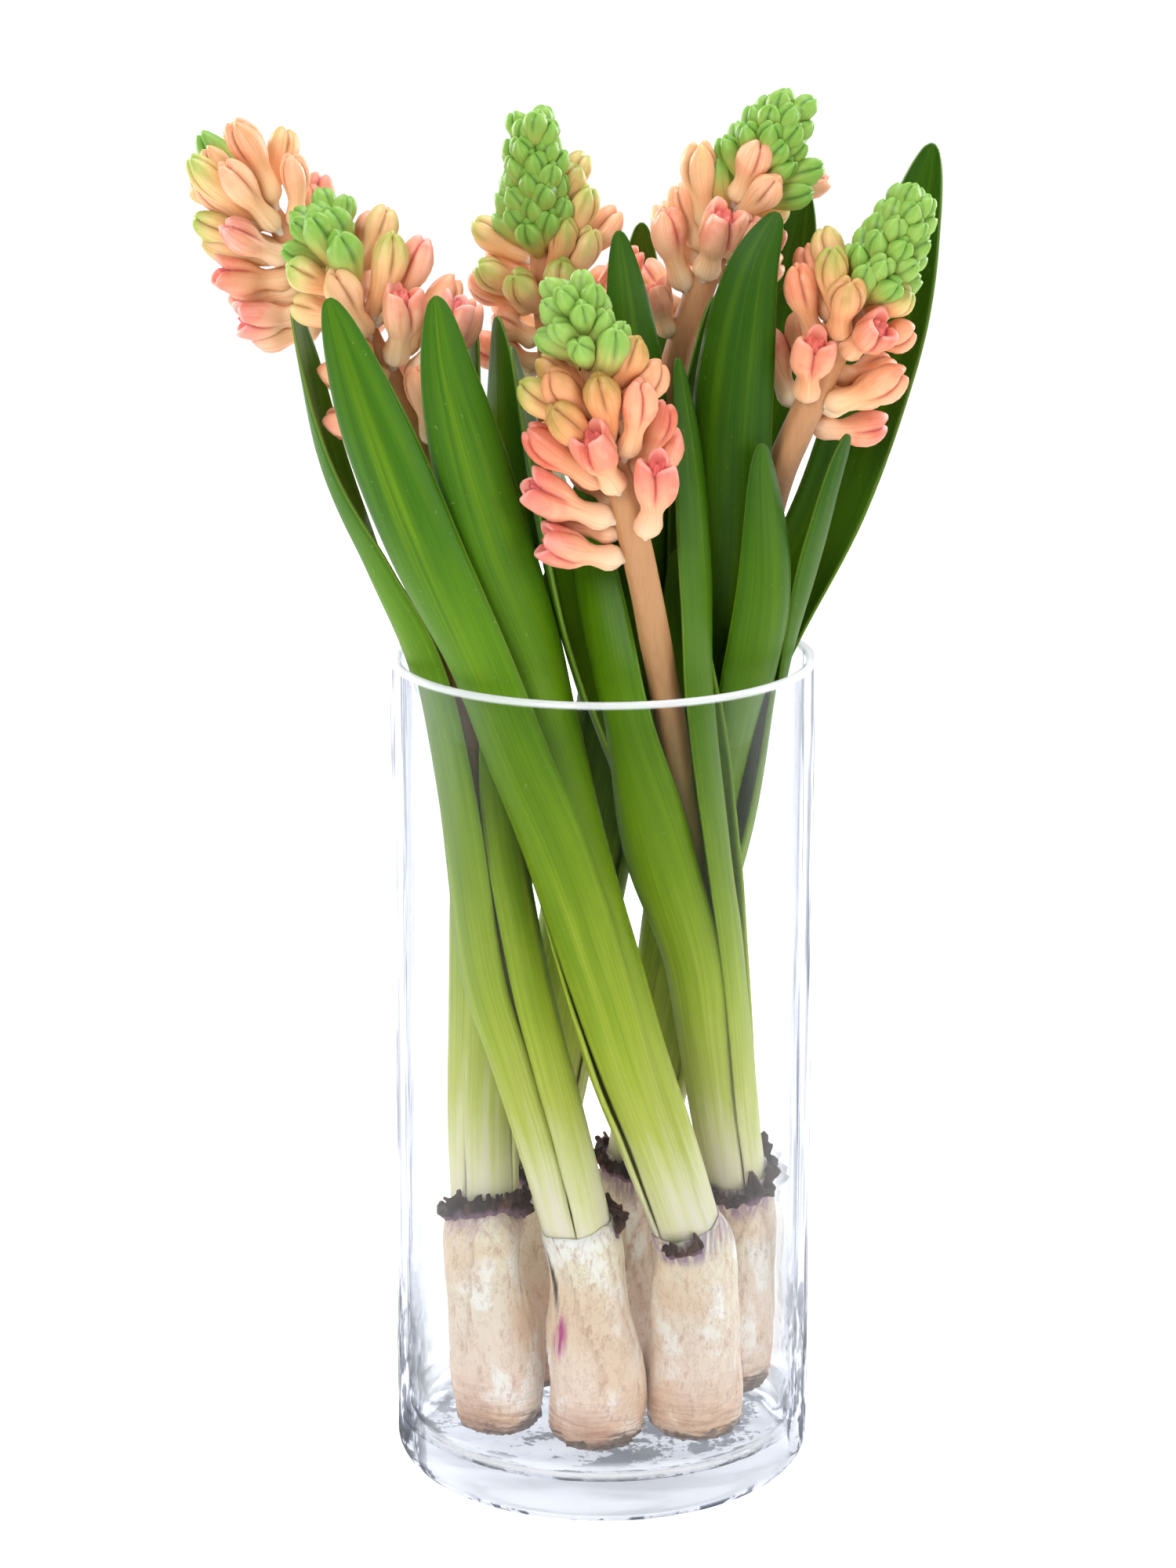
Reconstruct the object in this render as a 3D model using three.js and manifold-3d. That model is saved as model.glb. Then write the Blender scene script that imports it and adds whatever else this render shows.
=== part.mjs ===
// Six hyacinths on their peeled bulbs, standing in a tall clear glass cylinder vase.
// Millimetres, +Z up. The origin is the centre of the vase's flat underside, and the front faces -Y.
import * as THREE from "three";
import { mergeVertices } from "three/addons/utils/BufferGeometryUtils.js";
import Module from "manifold-3d";

const wasm = await Module();
wasm.setup();

// ---------------------------------------------------------------- driving sizes
const VASE = { radius: 60, height: 240, wall: 3, floor: 12, heel: 8, sides: 36, arcs: 3 };
const GAP = 0.3; // between pieces that touch

const BULB = {
  foot: VASE.floor + GAP,
  sides: 10,
  upright: 22, // height over which it stands straight up before it leans towards its neck
  bend: 0.55, // how far the lean of the stem reaches down into the bulb
  level: 0.2, // share of its length below which its rings lie level
};
// distance along the bulb (0 root plate, 1 neck) and radius
const BULB_PROFILE = [
  [0, 6.5], [0.035, 10.8], [0.13, 13.2], [0.3, 13.9], [0.5, 12.9], [0.72, 11.2], [0.9, 10.6], [1, 11.6],
];

// a crinkled ring of dry skin: its height and outward lean change from section to section
const COLLAR = { inner: 10.9, outer: 11.6, steps: 14, height: 4.6, ragged: 2.2, lean: 0.5, wave: 0.4 };

const LEAF = {
  ring: 8.7, // radius of the ring in which the leaves leave the bulb
  thick: 2.1, // on the midrib
  edge: 0.9, // at the margin
  tipLength: 52, // over which the blade rounds off to its point
  spread: 0.027, // how fast that ring widens up the sheath
  baseShare: 0.95, // share of the ring that the leaves of a plant fill together at the bulb
  fullAt: 0.55, // share of the length where the blade reaches its full width
  sheath: [0, 28, 56, 84, 112], // heights above the neck at which the blade still keeps its place in the ring
  across: 5, // points across a blade
  sections: 8,
  crowd: 1.5, // sections stand closer together towards the tip
  tipShare: 0.09, // width left at the very tip
};
// how tightly the blade is rolled, by distance along it: round the sheath at the bulb, shallow above, hooded
// at the tip
const LEAF_ROLL = [[0, LEAF.ring], [0.3, 11], [0.7, 15], [0.9, 13], [1, 8]];

const STALK = { radius: 4.3, sides: 6, sections: 8 };

const FLORET = {
  length: 22, // a floret at the foot of the head
  width: 10.4,
  core: 5, // radius of the flower axis that carries the florets
  budCore: 7.5, // the same where the green buds stand closely
  turn: 137.5, // degrees from one floret to the next
  rootDepth: 0.35, // share of the core radius at which a floret begins, inside the core
  reach: 0.65, // share of the core radius that a floret is longer by, to make up for that
  squeeze: 0.38, // how far florets on the pressed side of a head lie closer to its axis
  budRoom: 0.62, // room that a green bud takes up the head beside a salmon floret
  full: 0.93, // share of the green cone that carries buds
};
// from the foot of each zone to its top: lean from the head's axis in degrees, and size
const SALMON_ZONE = { lean: [80, 52], size: [1, 0.7] };
const GREEN_ZONE = { lean: [58, 24], size: [0.6, 0.44] };
const CORE = { sides: 7, steps: 3, top: 0.97, tipRadius: 2, widest: 0.4 };
// room cut into the green buds round the uppermost salmon florets
const CLEARING = { florets: 12, grow: 1.12 };
// sides of a floret, and its outline: distance along it (0 root, 1 tip) and share of half its width
const SALMON_BUD = { sides: 5, outline: [[0, 0.4], [0.68, 1], [0.9, 0.7]] };
const OPEN_BUD = { sides: 5, outline: [[0, 0.36], [0.62, 0.9], [0.97, 1.1]] };
const GREEN_BUD = { sides: 4, outline: [[0, 0.75], [0.6, 1]] };

// ---------------------------------------------------------------- the six plants
// bulb: where the root plate stands. collar: the stretch of the neck that still has its dry skin, in degrees.
// stem: the middle of the leaf sheath and flower stalk, from the neck to the lowest floret, and head: on from
// there to the tip. tuck: degrees by which each sheathing leaf is turned, so that one margin goes under the
// next leaf. florets: how many, the azimuth of the lowest, the side on which the head is pressed against a
// neighbour, and how many are open. leaves: base azimuth round the neck, width, then points of the blade's
// midline [x, y, z, azimuth that its back faces], the last one its tip.
const PLANTS = [
  {
    bulb: [-30, -14], collar: [0, 360], tuck: 12,
    stem: [[-34, -13, 78], [-35, -1, 110], [-34, 5, 140], [-32, 8, 200], [-29, 9, 245], [-20, 14, 288],
      [-14, 16, 314]],
    head: [[-17, 9, 350], [-20, 0, 386]],
    florets: { salmon: 18, green: 26, phase: 20, press: -120, open: 0 },
    leaves: [
      { from: -75, width: 20, by: [[-28.5, -8, 240, -105], [-27.5, -10, 290, -122], [-29, -12, 337, -145]] },
      { from: -165, width: 21, by: [[-42, 8, 235, -172], [-40, 6, 290, -165], [-36, 3, 335, -155]] },
      { from: 105, width: 22, by: [[-30, 25, 238, 98], [-38, 34, 285, 100], [-44, 40, 328, 105]] },
      { from: 15, width: 21, by: [[-17, 11, 235, 12], [-9, 5, 272, 0], [-5, 0, 298, -10]] },
    ],
  },
  {
    bulb: [-2, -25.5], collar: [-20, 70], tuck: 12,
    stem: [[-7, -27, 77], [-11, -28, 95], [-17, -29, 118], [-27, -28, 155], [-34, -24, 190], [-41, -14, 231],
      [-51, -4, 265], [-61, 4, 292], [-71, 8, 324]],
    head: [[-89, 7, 359], [-107, 5, 384]],
    florets: { salmon: 18, green: 3, phase: 68, press: -90, open: 3 },
    leaves: [
      { from: -150, width: 24, by: [[-44, -26, 205, -155], [-52, -16, 238, -160], [-64, -11, 265, -172],
        [-77, -9, 296, -188], [-85, -7, 339, -203]] },
      { from: -30, width: 22, by: [[-27, -23, 205, -30], [-31, -18, 244, -25]] },
      { from: 90, width: 20, by: [[-35, -10, 202, 85], [-38, -5, 217, 82]] },
    ],
  },
  {
    bulb: [26.5, -18], collar: [-125, -75], tuck: -12,
    stem: [[24, -21, 76], [18, -26, 96], [9, -30, 122], [-2, -32, 158], [-12, -31, 190], [-26, -29, 240],
      [-37, -26, 272], [-47, -24, 298]],
    head: [[-63, -22, 332], [-76, -20, 364]],
    florets: { salmon: 20, green: 7, phase: 68, press: -90, open: 2 },
    leaves: [
      { from: -95, width: 24, by: [[-14, -42.5, 190, -112], [-25, -43, 217, -122], [-35, -41, 243, -125],
        [-50, -45, 279, -110], [-62, -47, 312, -103], [-73, -45, 347, -98]] },
      { from: -5, width: 23.5, by: [[-16, -33, 243, -50], [-29, -40, 279, -75], [-40.5, -46.5, 322, -88],
        [-44.5, -48, 348, -90]] },
      { from: 85, width: 20, by: [[-19, -18, 235, 50], [-21, -19, 265, 45], [-24, -21, 290, 40]] },
      { from: 175, width: 18, by: [[-12.5, -30, 160, 165], [-16.5, -30, 176, 160]] },
    ],
  },
  {
    bulb: [39, 16], collar: [0, 360], tuck: 12,
    stem: [[40, 12, 78], [35.5, 3, 107], [30, -10, 149], [24, -19, 184], [17.5, -34, 233], [9.5, -41, 276]],
    head: [[1, -44, 310], [-8, -46, 346]],
    florets: { salmon: 21, green: 12, phase: 15, press: 60, open: 7 },
    leaves: [
      { from: -120, width: 24, by: [[14, -30, 187, -110], [3, -36, 230, -145], [-3, -29, 262, -135],
        [-6, -21, 294, -115]] },
      { from: -30, width: 15, by: [[28, -38, 233, -30], [26.5, -31, 268, -38], [24, -24, 300, -45],
        [20, -21, 327, -48]] },
      { from: 60, width: 21, by: [[31, -10, 184, 72], [25, -20, 235, 65], [20, -22, 274, 60]] },
      { from: 150, width: 21, by: [[12, -11, 184, 162], [-5.5, -13, 233, 164], [-16, -20, 275, 165],
        [-25, -26, 331, 170]] },
    ],
  },
  {
    bulb: [-20, 20], collar: [0, 360], tuck: 12,
    stem: [[-20, 20, 78], [-14, 19, 110], [-5, 17, 165], [7, 15, 237], [17, 12, 300], [22, 11, 326]],
    head: [[33, 9, 356], [50, 6, 390]],
    florets: { salmon: 19, green: 16, phase: 75, press: -60, open: 2 },
    leaves: [
      { from: -88, width: 20, by: [[7.5, 2.5, 237, -80], [10, -9, 294, -75], [8, -16, 332, -72],
        [4, -16, 361, -70]] },
      { from: 2, width: 20, by: [[19.5, 13, 235, 4], [25, 1, 300, -20], [30, -5, 341, -30]] },
      { from: 92, width: 21, by: [[8, 28.5, 237, 98], [10, 40, 300, 95], [11, 38, 356, 92]] },
      { from: 182, width: 21, by: [[-5, 17, 235, 188], [-12, 25, 275, 165], [-18, 36, 300, 150]] },
    ],
  },
  {
    bulb: [10, 24], collar: [0, 360], tuck: 17,
    stem: [[11, 22, 78], [17, 19.5, 110], [25.5, 16, 160], [37, 5, 237], [47, -3, 285], [54, -8, 306]],
    head: [[68, -9, 336], [83, -8, 366]],
    florets: { salmon: 16, green: 20, phase: 18, press: 180, open: 3 },
    leaves: [
      { from: -155, width: 25, by: [[20.5, 3, 184, -122], [31, -8, 232, -100], [34, -17, 273, -98],
        [35, -19, 313, -95], [39.5, -19, 347, -92], [47, -16, 366, -90]] },
      { from: -83, width: 21, by: [[33.5, -1, 184, -50], [41.5, -18.5, 232, -54], [45.5, -25, 265, -60],
        [43, -23, 304, -60]] },
      { from: -16, width: 20, by: [[44, 8, 186, 8], [50.5, 1, 232, 8], [58, -9, 264, -20], [63, -14, 288, -30],
        [67, -15, 305, -40]] },
      { from: 56, width: 24, by: [[46, 20, 232, 50], [67, 22, 280, 62], [80, 24, 324, 75], [87, 20, 360, 80],
        [91, 14, 381, 85]] },
      { from: 128, width: 22, by: [[27, 21.5, 235, 140], [40, 32, 282, 100], [50, 34, 325, 92],
        [57, 31, 366, 90]] },
    ],
  },
];

// ---------------------------------------------------------------- finishes
const COLOURS = {
  glass: [0xeef3f6, 0.05], bulb: [0xe9dfc8, 0.55], skin: [0x3b241a, 0.9], leaf: [0x3f7d22, 0.45],
  stalk: [0xb48a62, 0.5], salmon: [0xf0b48c, 0.55], bud: [0x8cc152, 0.5],
};

// ---------------------------------------------------------------- small maths
const radians = (degrees) => (degrees * Math.PI) / 180;
const clamp = (value) => Math.min(1, Math.max(0, value));
const mix = ([from, to], share) => from + (to - from) * share;
const outward = (azimuth) => new THREE.Vector3(Math.cos(radians(azimuth)), Math.sin(radians(azimuth)), 0);

// A smooth line through control points of any dimension, read by its share of the length.
function smoothLine(points) {
  const first = points[0].map((v, k) => 2 * v - points[1][k]);
  const end = points.length - 1;
  const last = points[end].map((v, k) => 2 * v - points[end - 1][k]);
  const all = [first, ...points, last];
  const steps = 24;
  const samples = [];
  for (let i = 0; i < end; i++) {
    for (let j = 0; j < steps + (i === end - 1 ? 1 : 0); j++) {
      const t = j / steps;
      const [a, b, c, d] = all.slice(i, i + 4);
      samples.push(
        b.map((v, k) => 0.5 * (2 * v + (c[k] - a[k]) * t + (2 * a[k] - 5 * v + 4 * c[k] - d[k]) * t * t
          + (3 * v - a[k] - 3 * c[k] + d[k]) * t * t * t)),
      );
    }
  }
  const run = [0];
  for (let i = 1; i < samples.length; i++) {
    run.push(run[i - 1] + Math.hypot(...[0, 1, 2].map((k) => samples[i][k] - samples[i - 1][k])));
  }
  const length = run[run.length - 1];
  const at = (share) => {
    const goal = clamp(share) * length;
    let i = 1;
    while (i < run.length - 1 && run[i] < goal) i++;
    const t = (goal - run[i - 1]) / (run[i] - run[i - 1]);
    return samples[i - 1].map((v, k) => v + (samples[i][k] - v) * t);
  };
  const point = (share) => new THREE.Vector3(...at(share).slice(0, 3));
  const tangent = (share) => point(share + 0.01).sub(point(share - 0.01)).normalize();
  const shareOf = (index) => run[index * steps] / length;
  return { length, at, point, tangent, shareOf };
}

// The whole middle line of a plant above the neck, and its stretch that carries the florets.
function plantLine(plant) {
  return smoothLine([...plant.stem, ...plant.head]);
}

function headLine(plant) {
  const line = plantLine(plant);
  const foot = line.shareOf(plant.stem.length - 1);
  const on = (share) => foot + (1 - foot) * share;
  return {
    length: line.length * (1 - foot),
    point: (share) => line.point(on(share)),
    tangent: (share) => line.tangent(on(share)),
  };
}

// A table of [share, value] read with straight lines between its rows.
function profileAt(rows, share) {
  let i = 1;
  while (i < rows.length - 1 && rows[i][0] < share) i++;
  const [s0, v0] = rows[i - 1];
  const [s1, v1] = rows[i];
  return v0 + (v1 - v0) * clamp((share - s0) / (s1 - s0));
}

// The direction of an azimuth, turned square to an axis.
function squareTo(axis, azimuth) {
  const out = outward(azimuth);
  return out.addScaledVector(axis, -out.dot(axis)).normalize();
}

// ---------------------------------------------------------------- solids
function geometryOf(positions, triangles) {
  const geometry = new THREE.BufferGeometry();
  const numbers = positions.flatMap((p) => p.toArray());
  geometry.setAttribute("position", new THREE.Float32BufferAttribute(numbers, 3));
  geometry.setIndex(triangles);
  return geometry;
}

// Rings of equal count joined into a closed tube, with a fan over each end, up to a tip if one is given.
function tubeOf(rings, tip) {
  const count = rings[0].length;
  const positions = rings.flat();
  const triangles = [];
  rings.slice(1).forEach((_, r) => {
    for (let i = 0; i < count; i++) {
      const a = r * count + i;
      const b = r * count + ((i + 1) % count);
      triangles.push(a, b, b + count, a, b + count, a + count);
    }
  });
  [0, rings.length - 1].forEach((r) => {
    const middle = positions.length;
    const centre = rings[r].reduce((sum, p) => sum.add(p), new THREE.Vector3()).divideScalar(count);
    positions.push(r > 0 && tip ? tip : centre);
    for (let i = 0; i < count; i++) {
      const a = r * count + i;
      const b = r * count + ((i + 1) % count);
      triangles.push(...(r === 0 ? [middle, b, a] : [middle, a, b]));
    }
  });
  return geometryOf(positions, triangles);
}

// A ring of points round a place on an axis.
function ringAround(centre, axis, radius, sides, turn = 0) {
  const side = squareTo(axis, 0);
  const up = axis.clone().cross(side);
  return Array.from({ length: sides }, (_, i) => {
    const angle = (2 * Math.PI * i) / sides + turn;
    return centre.clone()
      .addScaledVector(side, radius * Math.cos(angle))
      .addScaledVector(up, radius * Math.sin(angle));
  });
}

function solidOf(geometry) {
  const bare = geometry.clone();
  bare.deleteAttribute("normal");
  bare.deleteAttribute("uv");
  const merged = mergeVertices(bare, 1e-4);
  return new wasm.Manifold(
    new wasm.Mesh({
      numProp: 3,
      vertProperties: merged.attributes.position.array,
      triVerts: new Uint32Array(merged.index.array),
    }),
  );
}

// The largest body of a solid: a cut can leave loose scraps behind.
function largestBody(solid) {
  return solid.decompose().reduce((best, body) => (body.volume() > best.volume() ? body : best));
}

function geometryOfSolid(solid) {
  const mesh = solid.getMesh();
  const geometry = new THREE.BufferGeometry();
  geometry.setAttribute("position", new THREE.BufferAttribute(new Float32Array(mesh.vertProperties), 3));
  geometry.setIndex(new THREE.BufferAttribute(new Uint32Array(mesh.triVerts), 1));
  return geometry;
}

// ---------------------------------------------------------------- vase
function vaseGeometry() {
  const { radius, height, wall, floor, heel, sides, arcs } = VASE;
  const inner = radius - wall;
  const rim = wall / 2;
  const round = (x, z, r, from, to) => Array.from({ length: arcs + 1 }, (_, i) => {
    const angle = radians(from + ((to - from) * i) / arcs);
    return new THREE.Vector2(x + r * Math.cos(angle), z + r * Math.sin(angle));
  });
  const profile = [
    new THREE.Vector2(0, 0),
    ...round(radius - heel, heel, heel, -90, 0),
    ...round(radius - rim, height - rim, rim, 0, 180),
    ...round(inner - heel, floor + heel, heel, 0, -90),
    new THREE.Vector2(0, floor),
  ];
  return new THREE.LatheGeometry(profile, sides).rotateX(Math.PI / 2);
}

// ---------------------------------------------------------------- bulb and its dry skin
function bulbLine(plant) {
  const [x, y] = plant.bulb;
  const neck = plant.stem[0];
  const step = plant.stem[1].map((v, k) => v - neck[k]);
  const under = neck.map((v, k) => v - BULB.bend * step[k]);
  return smoothLine([[x, y, BULB.foot], [x, y, BULB.foot + BULB.upright], under, neck]);
}

function bulbGeometry(plant) {
  const line = bulbLine(plant);
  const axisAt = (share) => {
    if (share < BULB.level) return new THREE.Vector3(0, 0, 1);
    return share === 1 ? neckAxis(plant) : line.tangent(share);
  };
  return tubeOf(BULB_PROFILE.map(
    ([share, radius]) => ringAround(line.point(share), axisAt(share), radius, BULB.sides)));
}

function neckAxis(plant) {
  return plantLine(plant).tangent(0);
}

// A ragged ring, or part of one, that stands on the shoulder of the bulb outside the leaves.
function collarGeometry(plant, index) {
  const { inner, outer, height, ragged, lean, wave } = COLLAR;
  const [from, to] = plant.collar;
  const closed = to - from === 360;
  const axis = neckAxis(plant);
  const foot = new THREE.Vector3(...plant.stem[0]).addScaledVector(axis, GAP);
  const steps = closed ? COLLAR.steps : Math.max(3, Math.round(((to - from) / 360) * COLLAR.steps));
  const sections = Array.from({ length: closed ? steps : steps + 1 }, (_, i) => {
    const out = squareTo(axis, from + ((to - from) * i) / steps);
    const tall = height + ragged * Math.sin(2.7 * i + index * 1.9);
    const over = lean + wave * Math.sin(1.7 * i + index);
    const at = (radius, rise) => foot.clone().addScaledVector(out, radius).addScaledVector(axis, rise);
    return [at(inner, 0), at(outer, 0), at(outer + over, tall), at(inner + over, tall)];
  });
  return closed ? loopOf(sections) : barOf(sections);
}

// Four-cornered sections joined end to end, as a closed loop or as a bar with flat ends.
function loopOf(sections) {
  return geometryOf(sections.flat(), wallTriangles(sections.length, sections.length));
}

function barOf(sections) {
  const triangles = wallTriangles(sections.length - 1, sections.length);
  const end = 4 * (sections.length - 1);
  triangles.push(0, 1, 2, 0, 2, 3, end, end + 2, end + 1, end, end + 3, end + 2);
  return geometryOf(sections.flat(), triangles);
}

function wallTriangles(spans, count) {
  const triangles = [];
  for (let s = 0; s < spans; s++) {
    const a = 4 * s;
    const b = 4 * ((s + 1) % count);
    for (let k = 0; k < 4; k++) {
      const n = (k + 1) % 4;
      triangles.push(a + k, b + k, b + n, a + k, b + n, a + n);
    }
  }
  return triangles;
}

// ---------------------------------------------------------------- leaves
// The midline starts in the ring of leaf bases, follows the stem through the sheath and then its own points.
function leafLine(plant, leaf) {
  const stem = plantLine(plant);
  const sheath = LEAF.sheath.map((rise) => {
    const share = rise / stem.length;
    const axis = stem.tangent(share);
    const radius = LEAF.ring + LEAF.spread * rise;
    const place = stem.point(share).addScaledVector(squareTo(axis, leaf.from), radius);
    if (rise === 0) place.addScaledVector(axis, GAP + 0.1);
    return [...place.toArray(), leaf.from + plant.tuck];
  });
  const kept = sheath.filter((p) => p[2] < leaf.by[0][2] - LEAF.sheath[1]);
  return smoothLine([...kept, ...leaf.by]);
}

function leafWidth(plant, leaf, share, length) {
  const base = (2 * Math.PI * LEAF.ring * LEAF.baseShare) / plant.leaves.length;
  const rise = clamp(share / LEAF.fullAt);
  const swell = base + (leaf.width - base) * rise * rise * (3 - 2 * rise);
  const toTip = clamp(((1 - share) * length) / LEAF.tipLength);
  const roundOff = Math.sqrt(1 - (1 - toTip) ** 2);
  return swell * Math.max(roundOff, LEAF.tipShare);
}

function leafGeometry(plant, leaf) {
  const line = leafLine(plant, leaf);
  const { across, sections, edge, thick } = LEAF;
  const positions = [];
  for (let s = 0; s <= sections; s++) {
    const share = 1 - (1 - s / sections) ** LEAF.crowd;
    const middle = line.point(share);
    const axis = s === 0 ? neckAxis(plant) : line.tangent(share);
    const back = squareTo(axis, line.at(share)[3]);
    const side = axis.clone().cross(back);
    const roll = profileAt(LEAF_ROLL, share);
    const half = leafWidth(plant, leaf, share, line.length) / 2 / roll;
    const place = (angle, depth) => middle.clone()
      .addScaledVector(back, roll * Math.cos(angle) - roll - depth * Math.cos(angle))
      .addScaledVector(side, roll * Math.sin(angle) - depth * Math.sin(angle));
    for (const face of [-1, 1]) {
      for (let j = 0; j < across; j++) {
        const t = (2 * j) / (across - 1) - 1;
        const depth = edge + (thick - edge) * (1 - t * t) * clamp(4 * (1 - share) + 0.1);
        positions.push(place(half * t, (face * depth) / 2));
      }
    }
  }
  return geometryOf(positions, bladeTriangles(sections, across));
}

// Outer and inner face split alike, the two margins and the two ends.
function bladeTriangles(sections, across) {
  const row = 2 * across;
  const triangles = [];
  const quad = (a, b, c, d) => triangles.push(a, b, c, a, c, d);
  for (let s = 0; s < sections; s++) {
    for (let j = 0; j < across - 1; j++) {
      const outer = s * row + j;
      const inner = outer + across;
      quad(outer, outer + 1, outer + row + 1, outer + row);
      quad(inner + row + 1, inner + 1, inner, inner + row);
    }
    const low = s * row;
    quad(low + across, low, low + row, low + row + across);
    quad(low + across - 1, low + 2 * across - 1, low + row + 2 * across - 1, low + row + across - 1);
  }
  const top = sections * row;
  for (let j = 0; j < across - 1; j++) {
    quad(j, j + across, j + across + 1, j + 1);
    quad(top + j, top + j + 1, top + j + across + 1, top + j + across);
  }
  return triangles;
}

// ---------------------------------------------------------------- stalk and flower head
function stalkGeometry(plant) {
  const line = plantLine(plant);
  const top = line.shareOf(plant.stem.length - 1);
  const rings = Array.from({ length: STALK.sections + 1 }, (_, i) => {
    const axis = line.tangent((top * i) / STALK.sections);
    const place = line.point((top * i) / STALK.sections);
    if (i === 0) place.addScaledVector(axis, GAP);
    if (i === STALK.sections) place.addScaledVector(axis, -GAP);
    return ringAround(place, axis, STALK.radius, STALK.sides);
  });
  return tubeOf(rings);
}

// The rule that places florets: from the foot of the head up, each turned on from the last, shorter and
// steeper towards the tip.
function floretPlaces(plant) {
  const { salmon, green, phase, press, open } = plant.florets;
  const line = headLine(plant);
  const salmonShare = salmon / (salmon + FLORET.budRoom * green);
  return Array.from({ length: salmon + green }, (_, i) => {
    const isGreen = i >= salmon;
    const zone = isGreen ? GREEN_ZONE : SALMON_ZONE;
    const step = isGreen ? (i - salmon + 0.5) / green : (i + 1) / (salmon + 1);
    const share = isGreen ? salmonShare + (1 - salmonShare) * step * FLORET.full : salmonShare * step;
    const azimuth = phase + i * FLORET.turn;
    const squeeze = 1 - FLORET.squeeze * Math.max(0, Math.cos(radians(azimuth - press)));
    const tilt = mix(zone.lean, step) * squeeze;
    const size = mix(zone.size, step);
    const kind = isGreen ? GREEN_BUD : i < open ? OPEN_BUD : SALMON_BUD;
    return { kind, isGreen, share, azimuth, tilt, size, line };
  });
}

function floretGeometry({ kind, line, share, azimuth, tilt, size }, grow = 1) {
  const axis = line.tangent(share);
  const out = squareTo(axis, azimuth);
  const way = axis.clone().multiplyScalar(Math.cos(radians(tilt)));
  way.addScaledVector(out, Math.sin(radians(tilt)));
  const root = line.point(share).addScaledVector(out, FLORET.core * FLORET.rootDepth);
  const length = (FLORET.length + FLORET.core * FLORET.reach) * size;
  const half = (FLORET.width / 2) * (0.4 + 0.6 * size) * grow;
  const rings = kind.outline.map(([along, wide]) => ringAround(
    root.clone().addScaledVector(way, along * length), way, half * wide, kind.sides));
  return tubeOf(rings, root.clone().addScaledVector(way, length * grow));
}

// A stretch of the flower axis, thicker where the florets stand closely.
function coreGeometry(plant, from, to, radii) {
  const line = headLine(plant);
  const { sides, steps } = CORE;
  const rings = Array.from({ length: steps + 1 }, (_, i) => {
    const share = mix([from, to], i / steps);
    return ringAround(line.point(share), line.tangent(share), profileAt(radii, i / steps), sides);
  });
  return tubeOf(rings);
}

function headSolids(plant) {
  const places = floretPlaces(plant);
  const { length } = headLine(plant);
  const greens = places.filter((p) => p.isGreen);
  const salmons = places.filter((p) => !p.isGreen);
  const split = (salmons[salmons.length - 1].share + greens[0].share) / 2;
  const gap = GAP / length;
  const { core, budCore } = FLORET;
  const salmonCore = coreGeometry(plant, 0, split - gap / 2, [[0, core], [1, core]]);
  const greenRadii = [[0, core], [CORE.widest, budCore], [1, CORE.tipRadius]];
  const greenCore = coreGeometry(plant, split + gap / 2, CORE.top, greenRadii);
  const fused = (axis, florets, grow) => florets.reduce(
    (sum, p) => sum.add(solidOf(floretGeometry(p, grow))), solidOf(axis));
  const salmon = fused(salmonCore, salmons);
  const room = fused(salmonCore, salmons.slice(-CLEARING.florets), CLEARING.grow);
  const green = fused(greenCore, greens).subtract(room);
  return { salmon: largestBody(salmon), green: largestBody(green) };
}

// ---------------------------------------------------------------- assembly
const part = new THREE.Group();

function addPiece(name, geometry, colour) {
  const [shade, roughness] = COLOURS[colour];
  const material = new THREE.MeshStandardMaterial({ color: shade, roughness, metalness: 0 });
  const mesh = new THREE.Mesh(geometry, material);
  mesh.name = name;
  part.add(mesh);
}

addPiece("vase", vaseGeometry(), "glass");
PLANTS.forEach((plant, i) => {
  const number = i + 1;
  const head = headSolids(plant);
  addPiece(`bulb_${number}`, bulbGeometry(plant), "bulb");
  addPiece(`skin_${number}`, collarGeometry(plant, i), "skin");
  addPiece(`stalk_${number}`, stalkGeometry(plant), "stalk");
  addPiece(`florets_${number}`, geometryOfSolid(head.salmon), "salmon");
  addPiece(`buds_${number}`, geometryOfSolid(head.green), "bud");
  plant.leaves.forEach((leaf, j) => addPiece(`leaf_${number}_${j + 1}`, leafGeometry(plant, leaf), "leaf"));
});

export default part;
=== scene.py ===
import math
import random
from bisect import bisect_left

import bmesh
import bpy
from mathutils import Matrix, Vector, noise
from mathutils.bvhtree import BVHTree


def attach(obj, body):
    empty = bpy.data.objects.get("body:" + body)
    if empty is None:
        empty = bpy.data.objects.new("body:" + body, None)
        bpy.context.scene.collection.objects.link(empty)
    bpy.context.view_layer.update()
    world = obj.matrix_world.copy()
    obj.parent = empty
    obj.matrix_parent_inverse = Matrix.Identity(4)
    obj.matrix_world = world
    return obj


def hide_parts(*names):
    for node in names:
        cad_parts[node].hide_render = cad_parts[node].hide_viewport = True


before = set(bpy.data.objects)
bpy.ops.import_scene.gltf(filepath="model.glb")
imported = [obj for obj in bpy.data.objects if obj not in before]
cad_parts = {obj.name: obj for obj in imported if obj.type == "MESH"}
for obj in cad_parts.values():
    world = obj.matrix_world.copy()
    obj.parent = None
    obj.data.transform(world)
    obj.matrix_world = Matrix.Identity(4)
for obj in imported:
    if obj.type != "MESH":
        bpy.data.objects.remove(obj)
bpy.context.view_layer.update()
print("frame loaded, CAD nodes:", len(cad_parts))

mm = 0.001


def addObject(name, data):
    thing = bpy.data.objects.new(name, data)
    bpy.context.scene.collection.objects.link(thing)
    return thing


# camera: a little above the vase, as in the photo
camera = {"place": (-0.0042, -1.208, 0.521), "down": 14.8, "lens": 101.2, "sensor": 36, "clip": (0.05, 50)}


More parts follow.
